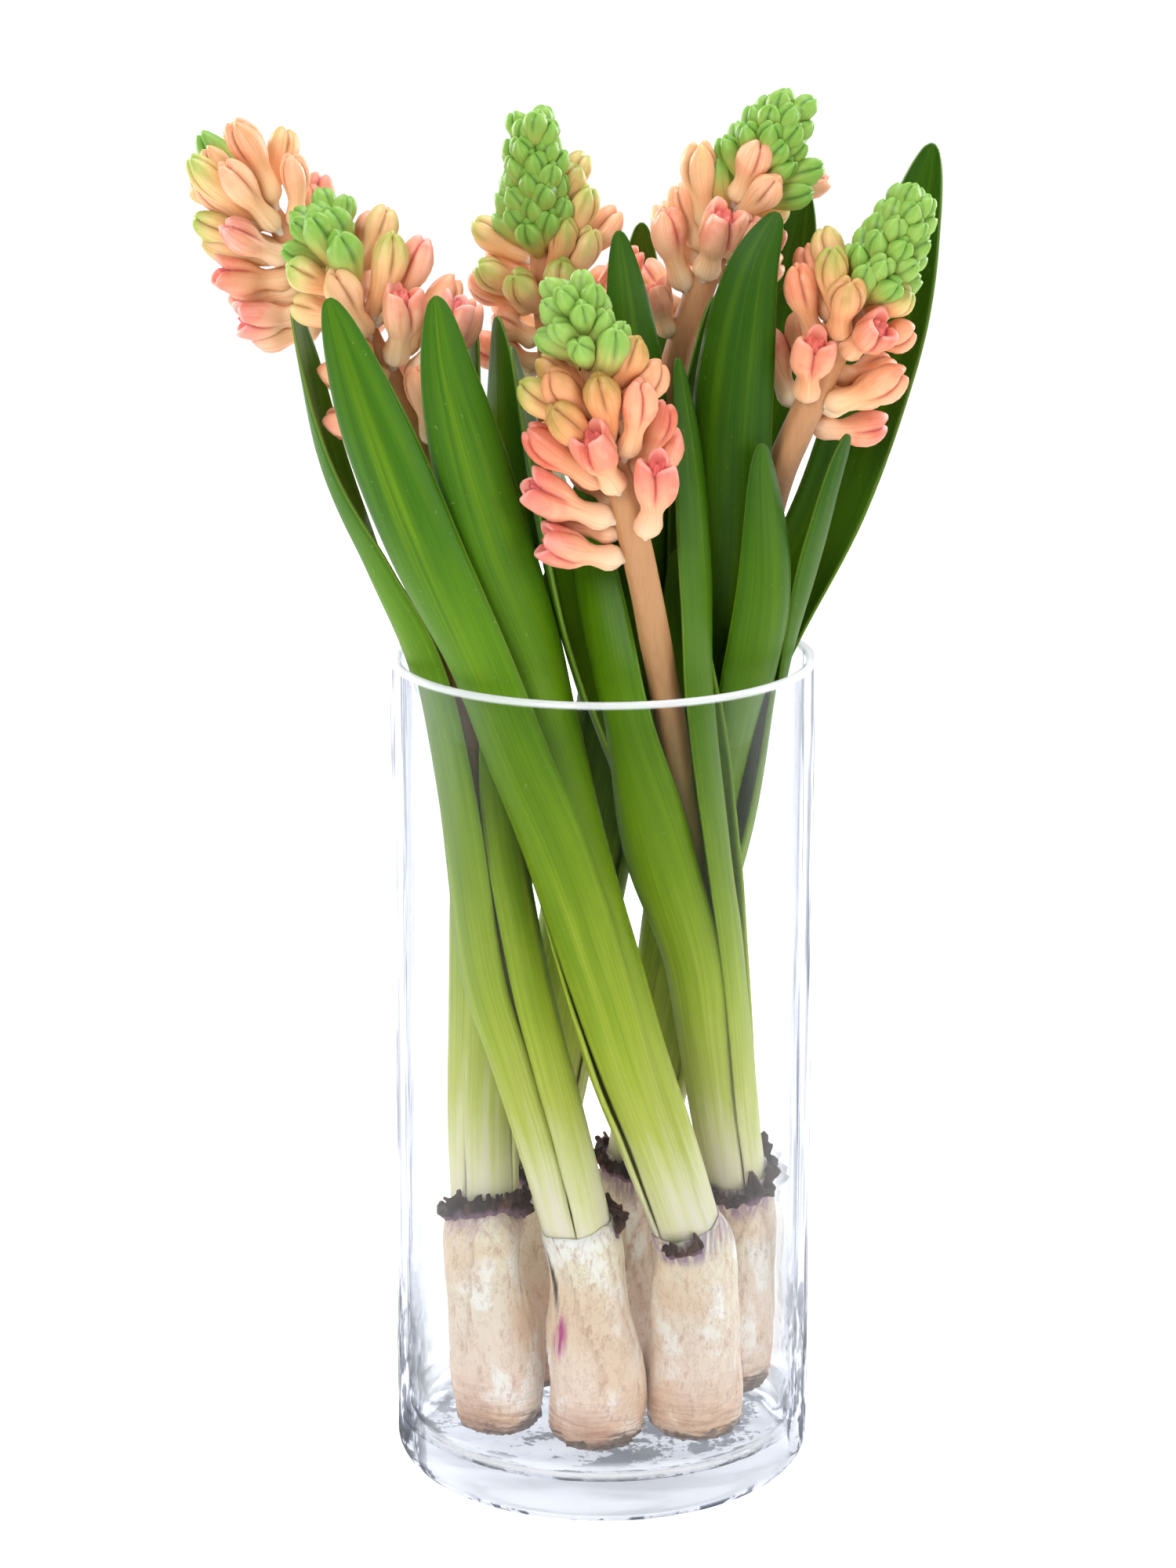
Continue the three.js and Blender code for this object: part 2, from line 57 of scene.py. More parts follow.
def makeCamera():
    data = bpy.data.cameras.new("camera")
    data.lens, data.sensor_width = camera["lens"], camera["sensor"]
    data.clip_start, data.clip_end = camera["clip"]
    thing = addObject("camera", data)
    thing.location = camera["place"]
    thing.rotation_euler = (math.radians(90 - camera["down"]), 0, 0)
    bpy.context.scene.camera = thing


makeCamera()


# small maths
def clamp(value):
    return min(1.0, max(0.0, value))


def mix(a, b, share):
    return a + (b - a) * share


def ease(low, high, value):
    t = clamp((value - low) / (high - low))
    return t * t * (3 - 2 * t)


def rowAfter(rows, share):
    # which row of a table of (share, value) ends the stretch that a share falls in
    return min(bisect_left(rows, share, 1, key=lambda row: row[0]), len(rows) - 1)


def readRows(rows, share):
    # the table read with straight lines
    i = rowAfter(rows, share)
    (s0, v0), (s1, v1) = rows[i - 1:i + 1]
    return mix(v0, v1, clamp((share - s0) / (s1 - s0)))


def readCurve(rows, share):
    # the table read as a soft curve through its rows
    i = rowAfter(rows, share)
    (s0, v0), (s1, v1) = rows[i - 1:i + 1]
    sBefore, vBefore = rows[max(0, i - 2)]
    sAfter, vAfter = rows[min(len(rows) - 1, i + 1)]
    span = s1 - s0
    t = clamp((share - s0) / span)
    slope0 = (v1 - vBefore) / (s1 - sBefore) * span
    slope1 = (vAfter - v0) / (sAfter - s0) * span
    t2, t3 = t * t, t * t * t
    return ((2 * t3 - 3 * t2 + 1) * v0 + (t3 - 2 * t2 + t) * slope0
            + (3 * t2 - 2 * t3) * v1 + (t3 - t2) * slope1)


def outward(azimuth):
    angle = math.radians(azimuth)
    return Vector((math.cos(angle), math.sin(angle), 0))


def squareTo(axis, azimuth):
    # the direction of an azimuth, turned square to an axis
    out = outward(azimuth)
    return (out - axis * out.dot(axis)).normalized()


def ringPoint(centre, side, up, radius, angle):
    return centre + side * (radius * math.cos(angle)) + up * (radius * math.sin(angle))


def wobble(spot, scale, *shift):
    # soft noise between about -1 and 1, the same at every run
    return noise.noise(spot * scale + Vector(shift))


class SmoothLine:
    # a smooth line through control points (x, y, z and perhaps an azimuth), read by its share of the length
    steps = 24

    def __init__(self, points):
        first = [2 * a - b for a, b in zip(points[0], points[1])]
        last = [2 * a - b for a, b in zip(points[-1], points[-2])]
        through = [first, *points, last]
        self.samples = []
        for i in range(len(points) - 1):
            a, b, c, d = through[i:i + 4]
            for j in range(self.steps + (i == len(points) - 2)):
                t = j / self.steps
                self.samples.append([
                    0.5 * (2 * q + (r - p) * t + (2 * p - 5 * q + 4 * r - s) * t * t
                           + (3 * q - p - 3 * r + s) * t ** 3)
                    for p, q, r, s in zip(a, b, c, d)])
        self.run = [0.0]
        for before, after in zip(self.samples, self.samples[1:]):
            self.run.append(self.run[-1] + math.dist(before[:3], after[:3]))
        self.length = self.run[-1]

    def at(self, share):
        goal = clamp(share) * self.length
        i = min(max(1, bisect_left(self.run, goal)), len(self.run) - 1)
        t = (goal - self.run[i - 1]) / (self.run[i] - self.run[i - 1])
        return [mix(a, b, t) for a, b in zip(self.samples[i - 1], self.samples[i])]

    def point(self, share):
        return Vector(self.at(share)[:3])

    def tangent(self, share):
        return (self.point(share + 0.01) - self.point(share - 0.01)).normalized()

    def shareOf(self, index):
        return self.run[index * self.steps] / self.length


# the six plants, as the CAD part has them, in millimetres
# stem: middle of the sheath and stalk up to the lowest floret, head: on to the tip
# collar: from and to which azimuth, tuck: how far each leaf turns under the next
# florets: how many set the colours' shares of the head, the first one's azimuth, the side where they lie close
# full: how many salmon and green ones follow the golden angle, deep: how strong the petals' colour is and how
# light the buds, partly the head's own colour and partly painted shade for how the head is lit
# leaves: azimuth at the bulb, width, then points of the midline (x, y, z, azimuth that the back faces), the
# last one the tip
plants = [
    {
        "bulb": (-30, -14), "collar": (0, 360), "tuck": 12,
        "stem": [(-34, -13, 78), (-35, -1, 110), (-34, 5, 140), (-32, 8, 200), (-29, 9, 245), (-20, 14, 288),
                 (-14, 16, 314)],
        "head": [(-17, 9, 350), (-20, 0, 386)],
        "florets": {"salmon": 18, "green": 26, "phase": 20, "press": -120},
        "full": (20, 46), "deep": -0.2,
        "leaves": [
            (-75, 20, [(-28.5, -8, 240, -105), (-27.5, -10, 290, -122), (-29, -12, 337, -145)]),
            (-165, 21, [(-42, 8, 235, -172), (-40, 6, 290, -165), (-36, 3, 335, -155)]),
            (105, 22, [(-30, 25, 238, 98), (-38, 34, 285, 100), (-44, 40, 328, 105)]),
            (15, 21, [(-17, 11, 235, 12), (-9, 5, 272, 0), (-5, 0, 298, -10)]),
        ],
    },
    {
        "bulb": (-2, -25.5), "collar": (-20, 70), "tuck": 12,
        "stem": [(-7, -27, 77), (-11, -28, 95), (-17, -29, 118), (-27, -28, 155), (-34, -24, 190),
                 (-41, -14, 231), (-51, -4, 265), (-61, 4, 292), (-71, 8, 324)],
        "head": [(-89, 7, 359), (-107, 5, 384)],
        "florets": {"salmon": 18, "green": 3, "phase": 68, "press": -90},
        "full": (24, 0), "deep": -0.5,
        "leaves": [
            (-150, 24, [(-44, -26, 205, -155), (-52, -16, 238, -160), (-64, -11, 265, -172),
                        (-77, -9, 296, -188), (-85, -7, 339, -203)]),
            (-30, 22, [(-27, -23, 205, -30), (-31, -18, 244, -25)]),
            (90, 20, [(-35, -10, 202, 85), (-38, -5, 217, 82)]),
        ],
    },
    {
        "bulb": (26.5, -18), "collar": (-125, -75), "tuck": -12,
        "stem": [(24, -21, 76), (18, -26, 96), (9, -30, 122), (-2, -32, 158), (-12, -31, 190),
                 (-26, -29, 240), (-37, -26, 272), (-47, -24, 298)],
        "head": [(-63, -22, 332), (-76, -20, 364)],
        "florets": {"salmon": 20, "green": 7, "phase": 68, "press": -90},
        "full": (26, 9), "deep": -0.7,
        "leaves": [
            (-95, 24, [(-14, -42.5, 190, -112), (-25, -43, 217, -122), (-35, -41, 243, -125),
                       (-50, -45, 279, -110), (-62, -47, 312, -103), (-73, -45, 347, -98)]),
            (-5, 23.5, [(-16, -33, 243, -50), (-29, -40, 279, -75), (-40.5, -46.5, 322, -88),
                        (-44.5, -48, 348, -90)]),
            (85, 20, [(-19, -18, 235, 50), (-21, -19, 265, 45), (-24, -21, 290, 40)]),
            (175, 18, [(-12.5, -30, 160, 165), (-16.5, -30, 176, 160)]),
        ],
    },
    {
        "bulb": (39, 16), "collar": (0, 360), "tuck": 12,
        "stem": [(40, 12, 78), (35.5, 3, 107), (30, -10, 149), (24, -19, 184), (17.5, -34, 233),
                 (9.5, -41, 276)],
        "head": [(1, -44, 310), (-8, -46, 346)],
        "florets": {"salmon": 21, "green": 12, "phase": 15, "press": 60},
        "full": (26, 18), "deep": 1.3,
        "leaves": [
            (-120, 24, [(14, -30, 187, -110), (3, -36, 230, -145), (-3, -29, 262, -135),
                        (-6, -21, 294, -115)]),
            (-30, 15, [(28, -38, 233, -30), (26.5, -31, 268, -38), (24, -24, 300, -45), (20, -21, 327, -48)]),
            (60, 21, [(31, -10, 184, 72), (25, -20, 235, 65), (20, -22, 274, 60)]),
            (150, 21, [(12, -11, 184, 162), (-5.5, -13, 233, 164), (-16, -20, 275, 165),
                       (-25, -26, 331, 170)]),
        ],
    },
    {
        "bulb": (-20, 20), "collar": (0, 360), "tuck": 12,
        "stem": [(-20, 20, 78), (-14, 19, 110), (-5, 17, 165), (7, 15, 237), (17, 12, 300), (22, 11, 326)],
        "head": [(33, 9, 356), (50, 6, 390)],
        "florets": {"salmon": 19, "green": 16, "phase": 75, "press": -60},
        "full": (24, 30), "deep": -1.5,
        "leaves": [
            (-88, 20, [(7.5, 2.5, 237, -80), (10, -9, 294, -75), (8, -16, 332, -72), (4, -16, 361, -70)]),
            (2, 20, [(19.5, 13, 235, 4), (25, 1, 300, -20), (30, -5, 341, -30)]),
            (92, 21, [(8, 28.5, 237, 98), (10, 40, 300, 95), (11, 38, 356, 92)]),
            (182, 21, [(-5, 17, 235, 188), (-12, 25, 275, 165), (-18, 36, 300, 150)]),
        ],
    },
    {
        "bulb": (10, 24), "collar": (0, 360), "tuck": 17,
        "stem": [(11, 22, 78), (17, 19.5, 110), (25.5, 16, 160), (37, 5, 237), (47, -3, 285), (54, -8, 306)],
        "head": [(68, -9, 336), (83, -8, 366)],
        "florets": {"salmon": 16, "green": 20, "phase": 18, "press": 180},
        "full": (20, 36), "deep": 0.4,
        "leaves": [
            (-155, 25, [(20.5, 3, 184, -122), (31, -8, 232, -100), (34, -17, 273, -98), (35, -19, 313, -95),
                        (39.5, -19, 347, -92), (47, -16, 366, -90)]),
            (-83, 21, [(33.5, -1, 184, -50), (41.5, -18.5, 232, -54), (45.5, -25, 265, -60),
                       (43, -23, 304, -60)]),
            (-16, 20, [(44, 8, 186, 8), (50.5, 1, 232, 8), (58, -9, 264, -20), (63, -14, 288, -30),
                       (67, -15, 305, -40)]),
            (56, 24, [(46, 20, 232, 50), (67, 22, 280, 62), (80, 24, 324, 75), (87, 20, 360, 80),
                      (91, 14, 381, 85)]),
            (128, 22, [(27, 21.5, 235, 140), (40, 32, 282, 100), (50, 34, 325, 92), (57, 31, 366, 90)]),
        ],
    },
]


def inMetres(point):
    return [v * mm for v in point[:3]] + list(point[3:])


for plant in plants:
    plant["stem"] = [inMetres(p) for p in plant["stem"]]
    head = [inMetres(p) for p in plant["head"]]
    plant["line"] = SmoothLine(plant["stem"] + head)
    plant["headFoot"] = plant["line"].shareOf(len(plant["stem"]) - 1)
    plant["neckAxis"] = plant["line"].tangent(0)


# the florets that the photo shows, head by head
# tip and foot in pixels of the photo, how many millimetres the tip is nearer the viewer than the foot, half
# width in millimetres, kind, ripeness from 0 (green tip) to 1 (pink)
plants[0]["seen"] = [
    (740, 211, 716, 272, -2, 4.4, "young", 0.15), (748, 197, 730, 262, -8, 4.2, "young", 0.2),
    (754, 238, 728, 322, 4, 4.7, "young", 0.2), (722, 277, 712, 345, 10, 4.3, "young", 0.1),
    (757, 291, 730, 368, 8, 4.7, "young", 0.3), (717, 331, 708, 398, 13, 4.9, "young", 0.2),
    (791, 268, 745, 345, -4, 4.8, "closed", 0.5), (819, 320, 765, 408, -4, 4.8, "closed", 0.8),
    (768, 364, 725, 425, 4, 4.9, "closed", 0.6), (608, 338, 668, 374, 4, 4.8, "young", 0.15),
    (655, 350, 688, 392, 14, 4.9, "young", 0.15), (603, 283, 650, 335, -6, 4.5, "young", 0.25),
    (598, 352, 662, 402, -6, 4.8, "closed", 0.7), (629, 402, 690, 438, 2, 4.9, "closed", 0.5),
    (628, 440, 694, 470, 0, 4.9, "closed", 0.7),
]
plants[1]["seen"] = [
    (297, 154, 361, 264, 6, 5.0, "closed", 0.45), (255, 168, 334, 258, -4, 4.2, "bud", 0.3),
    (262, 187, 340, 272, 1, 4.3, "young", 0.4), (241, 201, 340, 286, 6, 4.5, "young", 0.15),
    (250, 226, 346, 298, 2, 4.4, "closed", 0.5), (284, 207, 366, 292, 13, 4.7, "closed", 0.5),
    (372, 196, 379, 296, 4, 4.2, "closed", 0.6), (412, 222, 390, 302, -9, 4.6, "closed", 0.9),
    (393, 232, 384, 312, -5, 4.2, "closed", 0.6), (246, 278, 350, 322, 3, 4.6, "young", 0.2),
    (256, 306, 356, 336, 3, 4.6, "young", 0.35), (284, 287, 376, 328, 13, 4.9, "closed", 0.9),
    (272, 348, 376, 358, 7, 5.4, "open", 0.8), (289, 374, 384, 372, 1, 5.0, "closed", 0.8),
    (300, 404, 396, 402, 7, 5.5, "open", 0.95), (318, 428, 404, 418, 1, 5.2, "closed", 0.8),
]
plants[2]["seen"] = [
    (399, 258, 431, 302, 2, 3.8, "bud", 0.1), (420, 264, 456, 316, 6, 4.7, "bud", 0.3),
    (396, 273, 424, 336, 9, 4.5, "bud", 0.5), (432, 296, 462, 360, 13, 4.9, "bud", 0.6),
    (427, 329, 470, 385, 5, 4.4, "young", 0.2), (424, 345, 484, 428, 13, 5.1, "closed", 0.4),
    (367, 337, 440, 370, 8, 4.7, "young", 0.15), (496, 264, 476, 340, -3, 4.8, "closed", 0.35),
    (477, 272, 466, 334, -8, 4.3, "closed", 0.85), (502, 296, 486, 398, 9, 5.0, "young", 0.25),
    (544, 303, 512, 402, 2, 4.9, "closed", 0.85), (512, 366, 517, 466, 11, 5.7, "open", 0.75),
    (590, 378, 545, 478, 0, 5.3, "open", 0.9), (581, 352, 530, 442, -7, 5.0, "closed", 0.5),
    (612, 386, 560, 484, -6, 4.6, "closed", 0.8), (442, 430, 510, 488, 6, 5.2, "closed", 0.7),
    (528, 466, 541, 578, 4, 4.8, "closed", 0.5), (466, 482, 524, 545, 0, 4.7, "closed", 0.6),
    (500, 530, 545, 592, -2, 4.7, "closed", 0.6),
]
plants[3]["seen"] = [
    (688, 686, 800, 738, 5, 5.5, "open", 1.0), (668, 616, 798, 664, 3, 5.8, "open", 1.0),
    (700, 646, 798, 684, -8, 5.2, "closed", 0.9), (671, 546, 778, 622, 3, 5.2, "closed", 0.95),
    (750, 548, 803, 626, 15, 5.8, "open", 0.85), (839, 584, 829, 688, 12, 5.9, "open", 1.0),
    (818, 485, 806, 584, 10, 5.0, "closed", 0.75), (850, 512, 836, 604, -2, 4.7, "closed", 0.9),
    (703, 518, 762, 578, 13, 5.2, "young", 0.3), (662, 488, 740, 548, 3, 5.0, "young", 0.2),
    (700, 474, 758, 540, 9, 4.9, "young", 0.4), (762, 478, 776, 560, 12, 5.1, "young", 0.3),
    (845, 462, 790, 530, 2, 5.0, "young", 0.45), (815, 430, 776, 500, 5, 4.8, "young", 0.3),
    (787, 417, 762, 478, 9, 4.5, "bud", 0.7), (862, 545, 822, 640, -8, 5.0, "closed", 0.9),
]
plants[4]["seen"] = [
    (892, 181, 900, 300, 6, 5.2, "closed", 0.4), (865, 234, 880, 318, -2, 4.6, "closed", 0.45),
    (848, 266, 862, 372, 6, 5.3, "closed", 0.7), (921, 196, 928, 272, 2, 4.6, "bud", 0.7),
    (972, 178, 944, 264, 9, 5.0, "closed", 0.55), (928, 266, 886, 354, 15, 6.0, "open", 0.75),
    (992, 228, 956, 276, 13, 4.7, "young", 0.5), (963, 278, 930, 330, 10, 4.8, "closed", 0.75),
    (1052, 214, 1002, 240, 2, 4.0, "bud", 0.2), (1038, 246, 990, 262, 5, 3.9, "bud", 0.3),
    (1058, 232, 1000, 250, -9, 4.4, "closed", 0.7), (1000, 290, 934, 340, 2, 5.0, "closed", 0.7),
    (833, 360, 850, 452, 3, 4.9, "open", 0.7), (884, 216, 905, 310, -6, 4.8, "closed", 0.5),
]
plants[5]["seen"] = [
    (1016, 336, 1018, 438, 3, 4.8, "closed", 0.55), (1050, 289, 1052, 368, -4, 4.8, "young", 0.3),
    (1062, 315, 1056, 402, 9, 4.7, "young", 0.15), (1087, 356, 1062, 430, 13, 5.4, "closed", 0.35),
    (1129, 412, 1064, 446, 13, 5.6, "open", 0.85), (1043, 428, 1012, 508, 13, 6.0, "open", 0.8),
    (1164, 372, 1108, 404, 5, 4.8, "young", 0.2), (1168, 420, 1098, 446, 1, 4.8, "closed", 0.6),
    (1156, 474, 1040, 514, 6, 5.4, "closed", 0.6), (1134, 486, 1038, 522, -3, 5.2, "closed", 0.55),
    (1026, 312, 1030, 400, -7, 4.6, "closed", 0.5),
]

photo = {"wide": 1500, "high": 2000}  # pixels
focal = camera["lens"] / camera["sensor"] * photo["high"]  # in pixels of the photo
eye = Vector(camera["place"])
sinDown, cosDown = (turn(math.radians(camera["down"])) for turn in (math.sin, math.cos))


def photoPoint(x, y, depth):
    # the point of a pixel's line of sight that lies at a depth y
    across, up = (x - photo["wide"] / 2) / focal, (photo["high"] / 2 - y) / focal
    sight = Vector((across, cosDown + up * sinDown, up * cosDown - sinDown))
    return eye + sight * ((depth - eye.y) / sight.y)


def photoPixel(point):
    away = point - eye
    depth = away.y * cosDown - away.z * sinDown
    up = away.y * sinDown + away.z * cosDown
    return photo["wide"] / 2 + focal * away.x / depth, photo["high"] / 2 - focal * up / depth


# material nodes
def tint(red, green, blue):
    # a colour in the 0 to 255 of a paint chart
    shares = (value / 255 for value in (red, green, blue))
    return tuple(((v + 0.055) / 1.055) ** 2.4 if v > 0.04 else v / 12.92 for v in shares)


class Flow:
    # a shader value: an expression on it adds the Math nodes
    def __init__(self, finish, socket):
        self.finish = finish
        self.socket = socket

    def math(self, operation, *others):
        return self.finish.math(operation, self, *others)

    def __add__(self, other):
        return self.math("ADD", other)

    def __mul__(self, other):
        return self.math("MULTIPLY", other)

    def __sub__(self, other):
        return self.math("SUBTRACT", other)

    def __rsub__(self, other):
        return self.finish.math("SUBTRACT", other, self)

    def __pow__(self, other):
        return self.math("POWER", other)

    def __abs__(self):
        return self.math("ABSOLUTE")

    __radd__, __rmul__ = __add__, __mul__

    def spread(self, low, high, start, end, how="LINEAR"):
        # what lies between low and high, moved to between start and end
        return self.finish.node("ShaderNodeMapRange", {"interpolation_type": how},
                                {0: self, 1: low, 2: high, 3: start, 4: end})

    def ease(self, low, high):
        # 0 at low, 1 at high, soft between
        return self.spread(low, high, 0, 1, "SMOOTHSTEP")


class Finish:
    # the nodes of a material, or of the surroundings; every colour is given as for tint
    def __init__(self, name, owners="materials", shader="Principled BSDF"):
        self.owner = getattr(bpy.data, owners).new(name)
        self.owner.use_nodes = True
        self.tree = self.owner.node_tree
        self.shader = self.tree.nodes[shader]
        self.lit = Flow(self, self.shader.outputs[0])

    def feed(self, socket, value):
        if isinstance(value, Flow):
            self.tree.links.new(value.socket, socket)
        elif socket.type == "RGBA":
            socket.default_value = (*tint(*value), 1)
        else:
            socket.default_value = value

    def node(self, kind, settings=None, sockets=None, out=0):
        made = self.tree.nodes.new(kind)
        for name, value in (settings or {}).items():
            if name == "stops":
                ramp = made.color_ramp
                while len(ramp.elements) < len(value):
                    ramp.elements.new(0.5)
                for element, (place, colour) in zip(ramp.elements, value):
                    element.position = place
                    element.color = (*tint(*colour), 1)
            else:
                setattr(made, name, value)
        for name, value in (sockets or {}).items():
            self.feed(made.inputs[name], value)
        return Flow(self, made.outputs[out])

    def math(self, operation, *values):
        return self.node("ShaderNodeMath", {"operation": operation}, dict(enumerate(values)))

    def set(self, **values):
        # sockets of the main shader, with their names' blanks left out
        for socket in self.shader.inputs:
            key = socket.name.replace(" ", "")
            key = key[0].lower() + key[1:]
            if key in values:
                self.feed(socket, values.pop(key))
        assert not values, values

    def end(self, flow, socket="Surface"):
        self.feed(self.tree.nodes["Material Output"].inputs[socket], flow)

    def readings(self, *names):
        return [self.node("ShaderNodeAttribute", {"attribute_name": name}, out=2) for name in names]

    def place(self, stretch=(1, 1, 1)):
        spot = self.node("ShaderNodeTexCoord", out=3)
        return self.node("ShaderNodeMapping", None, {"Vector": spot, "Scale": stretch})

    def axis(self, spot, index):
        return self.node("ShaderNodeSeparateXYZ", None, {0: spot}, index)

    def noise(self, spot, scale, detail=2.0, rough=0.5):
        # spot: a vector, or three values that make one
        if isinstance(spot, tuple):
            spot = self.node("ShaderNodeCombineXYZ", None, dict(enumerate(spot)))
        return self.node("ShaderNodeTexNoise", None,
                         {"Vector": spot, "Scale": scale, "Detail": detail, "Roughness": rough})

    def grain(self, scale, detail=2.0, rough=0.5, stretch=(1, 1, 1)):
        return self.noise(self.place(stretch), scale, detail, rough)

    def ramp(self, value, *stops):
        return self.node("ShaderNodeValToRGB", {"stops": stops}, {0: value})

    def blend(self, share, a, b, how="MIX"):
        settings = {"data_type": "RGBA", "blend_type": how}
        return self.node("ShaderNodeMix", settings, {0: share, 6: a, 7: b}, 2)

    def layers(self, colour, *coats):
        # each coat: its share, its colour and perhaps how it is laid on
        for share, over, *how in coats:
            colour = self.blend(share, colour, over, *how)
        return colour

    def either(self, share, one, other):
        return self.node("ShaderNodeMixShader", None, {0: share, 1: one, 2: other})

    def bump(self, height, distance, strength=1.0):
        sockets = {"Height": height, "Distance": distance, "Strength": strength}
        return self.node("ShaderNodeBump", None, sockets)


# meshes
marks = ("along", "across", "tone", "crease", "ripe", "inside")


def newMesh():
    bm = bmesh.new()
    for name in marks:
        bm.verts.layers.float.new(name)
    return bm


def wrapGrid(bm, around, along, placeAt):
    # a flat grid wrapped round into a tube: placeAt gives a place and its marks for each column and row
    layers = {name: bm.verts.layers.float[name] for name in marks}
    made = bmesh.ops.create_grid(bm, x_segments=around, y_segments=along, size=0.5)["verts"]
    for vert in made:
        column = round((vert.co.x + 0.5) * around)
        row = round((vert.co.y + 0.5) * along)
        vert.co, values = placeAt(column % around, row)
        for name, value in values.items():
            vert[layers[name]] = value
    bmesh.ops.remove_doubles(bm, verts=made, dist=1e-7)


def addMesh(bm, name, material):
    mesh = bpy.data.meshes.new(name)
    bm.to_mesh(mesh)
    bm.free()
    mesh.materials.append(material)
    return addObject(name, mesh)


def finishPiece(bm, name, material):
    bmesh.ops.recalc_face_normals(bm, faces=bm.faces)
    for face in bm.faces:
        face.smooth = True
    thing = addMesh(bm, name, material)
    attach(thing, "root")
    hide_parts(name)


obstacles = []  # what the florets have to stay clear of, each with its plant's number


def keepClearOf(bm, owner):
    obstacles.append((owner, BVHTree.FromBMesh(bm)))


# leaves
leafShape = {
    "ring": 8.7 * mm, "thick": 2.1 * mm, "edge": 0.9 * mm, "tipLength": 62 * mm, "spread": 0.027,
    "baseShare": (0.985, 1.06), "baseRise": (8 * mm, 26 * mm), "fullAt": 0.55, "tuck": 0.5, "gap": 0.4 * mm,
    "sheath": [0, 28 * mm, 56 * mm, 84 * mm, 112 * mm], "flush": (4 * mm, 40 * mm),
    "ripple": 0.28 * mm, "rippleFrom": (0.1, 0.3), "rippleTo": (0, 0.06), "sections": 80, "faceSteps": 14,
    "crowd": 1.5, "glow": 0.15, "through": [(209, 218, 158), (121, 160, 16)],
}
leafTip = [(0, 0.05), (0.015, 0.15), (0.05, 0.25), (0.12, 0.38), (0.25, 0.55), (0.4, 0.70), (0.6, 0.86),
           (0.8, 0.96), (1, 1.0)]
leafRoll = [(0, 8.7 * mm), (0.3, 11 * mm), (0.7, 15 * mm), (0.9, 13 * mm), (1, 8 * mm)]


def leafFinish():
    f = Finish("leaf green")
    along, across, tone, inside = f.readings("along", "across", "tone", "inside")
    streaks = f.noise((across * 3.2, along * 6, tone * 9), 1.6, 3, 0.55)
    lines = f.noise((across * 22, along * 5, tone * 3), 1.4, 2, 0.6)
    fine = f.noise((across * 64, along * 9, tone * 3), 1.2, 1)
    blotch = f.noise((across * 1.3, along * 22, tone * 5), 1.0, 4, 0.6)
    height = along * 4 + (blotch - 0.5) * 0.2 + (streaks - 0.5) * 0.2
    green = f.ramp(height, (0, (254, 244, 218)), (0.07, (240, 238, 178)), (0.16, (208, 216, 98)),
                   (0.27, (190, 207, 64)), (0.44, (146, 178, 30)), (0.66, (104, 150, 16)),
                   (0.9, (64, 114, 14)))
    # painted glow: the middle is painted a lighter yellow-green that stands in for light shining through, in
    # streaks that run on towards the tip
    middle = 1 - abs(across + (blotch - 0.5) * 0.7).ease(0, 0.9)
    lit = middle * streaks.ease(0.34, 0.7) * along.ease(0.03, 0.12) * (1 - along.ease(0.2, 0.36) * 0.5)
    margin = abs(across).ease(0.95, 1) * along.ease(0.05, 0.16)
    colour = f.layers(
        green,
        (lit * 0.7, (116, 156, 4)),
        (lines.ease(0.3, 0.7) * (along.ease(0, 0.06) * 0.3 + 0.1), (170, 184, 150), "MULTIPLY"),
        (fine.ease(0.45, 0.75) * 0.35, (226, 236, 180), "SOFT_LIGHT"),
        (f.grain(700, 1).ease(0.72, 0.8) * 0.25, (190, 205, 130)),
        (margin * 0.35, (168, 190, 96)))
    # painted shade: a grey-green multiply darkens the leaves that lie to the right and, a little, their inner
    # faces
    shade = f.blend(1, colour, (194, 206, 160), "MULTIPLY")
    colour = f.layers(colour, ((1 - tone.ease(-0.9, 0.9)) * along.ease(0.06, 0.2), shade),
                      (inside * along.ease(0.08, 0.2) * 0.15, shade))
    f.set(baseColor=colour, roughness=0.33 + (blotch - 0.5) * 0.2 + lines * 0.08, specularIORLevel=0.26,
          normal=f.bump(lines * 0.6 + fine * 0.3 + blotch * 0.6, 0.45 * mm, 0.4),
          subsurfaceWeight=0.06, subsurfaceRadius=(0.5, 1.0, 0.15), subsurfaceScale=0.002)
    # light from behind shines through, pale at the foot and green above
    foot, above = (f.node("ShaderNodeBsdfTranslucent", None, {"Color": c}) for c in leafShape["through"])
    f.end(f.either(leafShape["glow"], f.lit, f.either(height.ease(0, 0.45), foot, above)))
    return f.owner


def leafLine(plant, leaf):
    azimuth, _, by = leaf
    stem = plant["line"]
    turnEnd = leafShape["sheath"][1]
    points = []
    for rise in leafShape["sheath"]:
        share = rise / stem.length
        axis = stem.tangent(share)
        place = stem.point(share) + squareTo(axis, azimuth) * (leafShape["ring"] + leafShape["spread"] * rise)
        if rise == 0:
            place = place + axis * leafShape["gap"]
        if place.z < by[0][2] * mm - turnEnd:
            # each leaf turns a little, so that one edge lies over its neighbour and the other under
            tuck = plant["tuck"] * leafShape["tuck"] * ease(0, turnEnd, rise)
            points.append([*place, azimuth + tuck])
    return SmoothLine(points + [inMetres(p) for p in by])


def leafWidth(plant, width, share, length):
    base = 2 * math.pi * leafShape["ring"] / len(plant["leaves"])
    base *= mix(*leafShape["baseShare"], ease(*leafShape["baseRise"], share * length))
    rise = clamp(share / leafShape["fullAt"])
    swell = base + (width * mm - base) * rise * rise * (3 - 2 * rise)
    return swell * readCurve(leafTip, clamp((1 - share) * length / leafShape["tipLength"]))


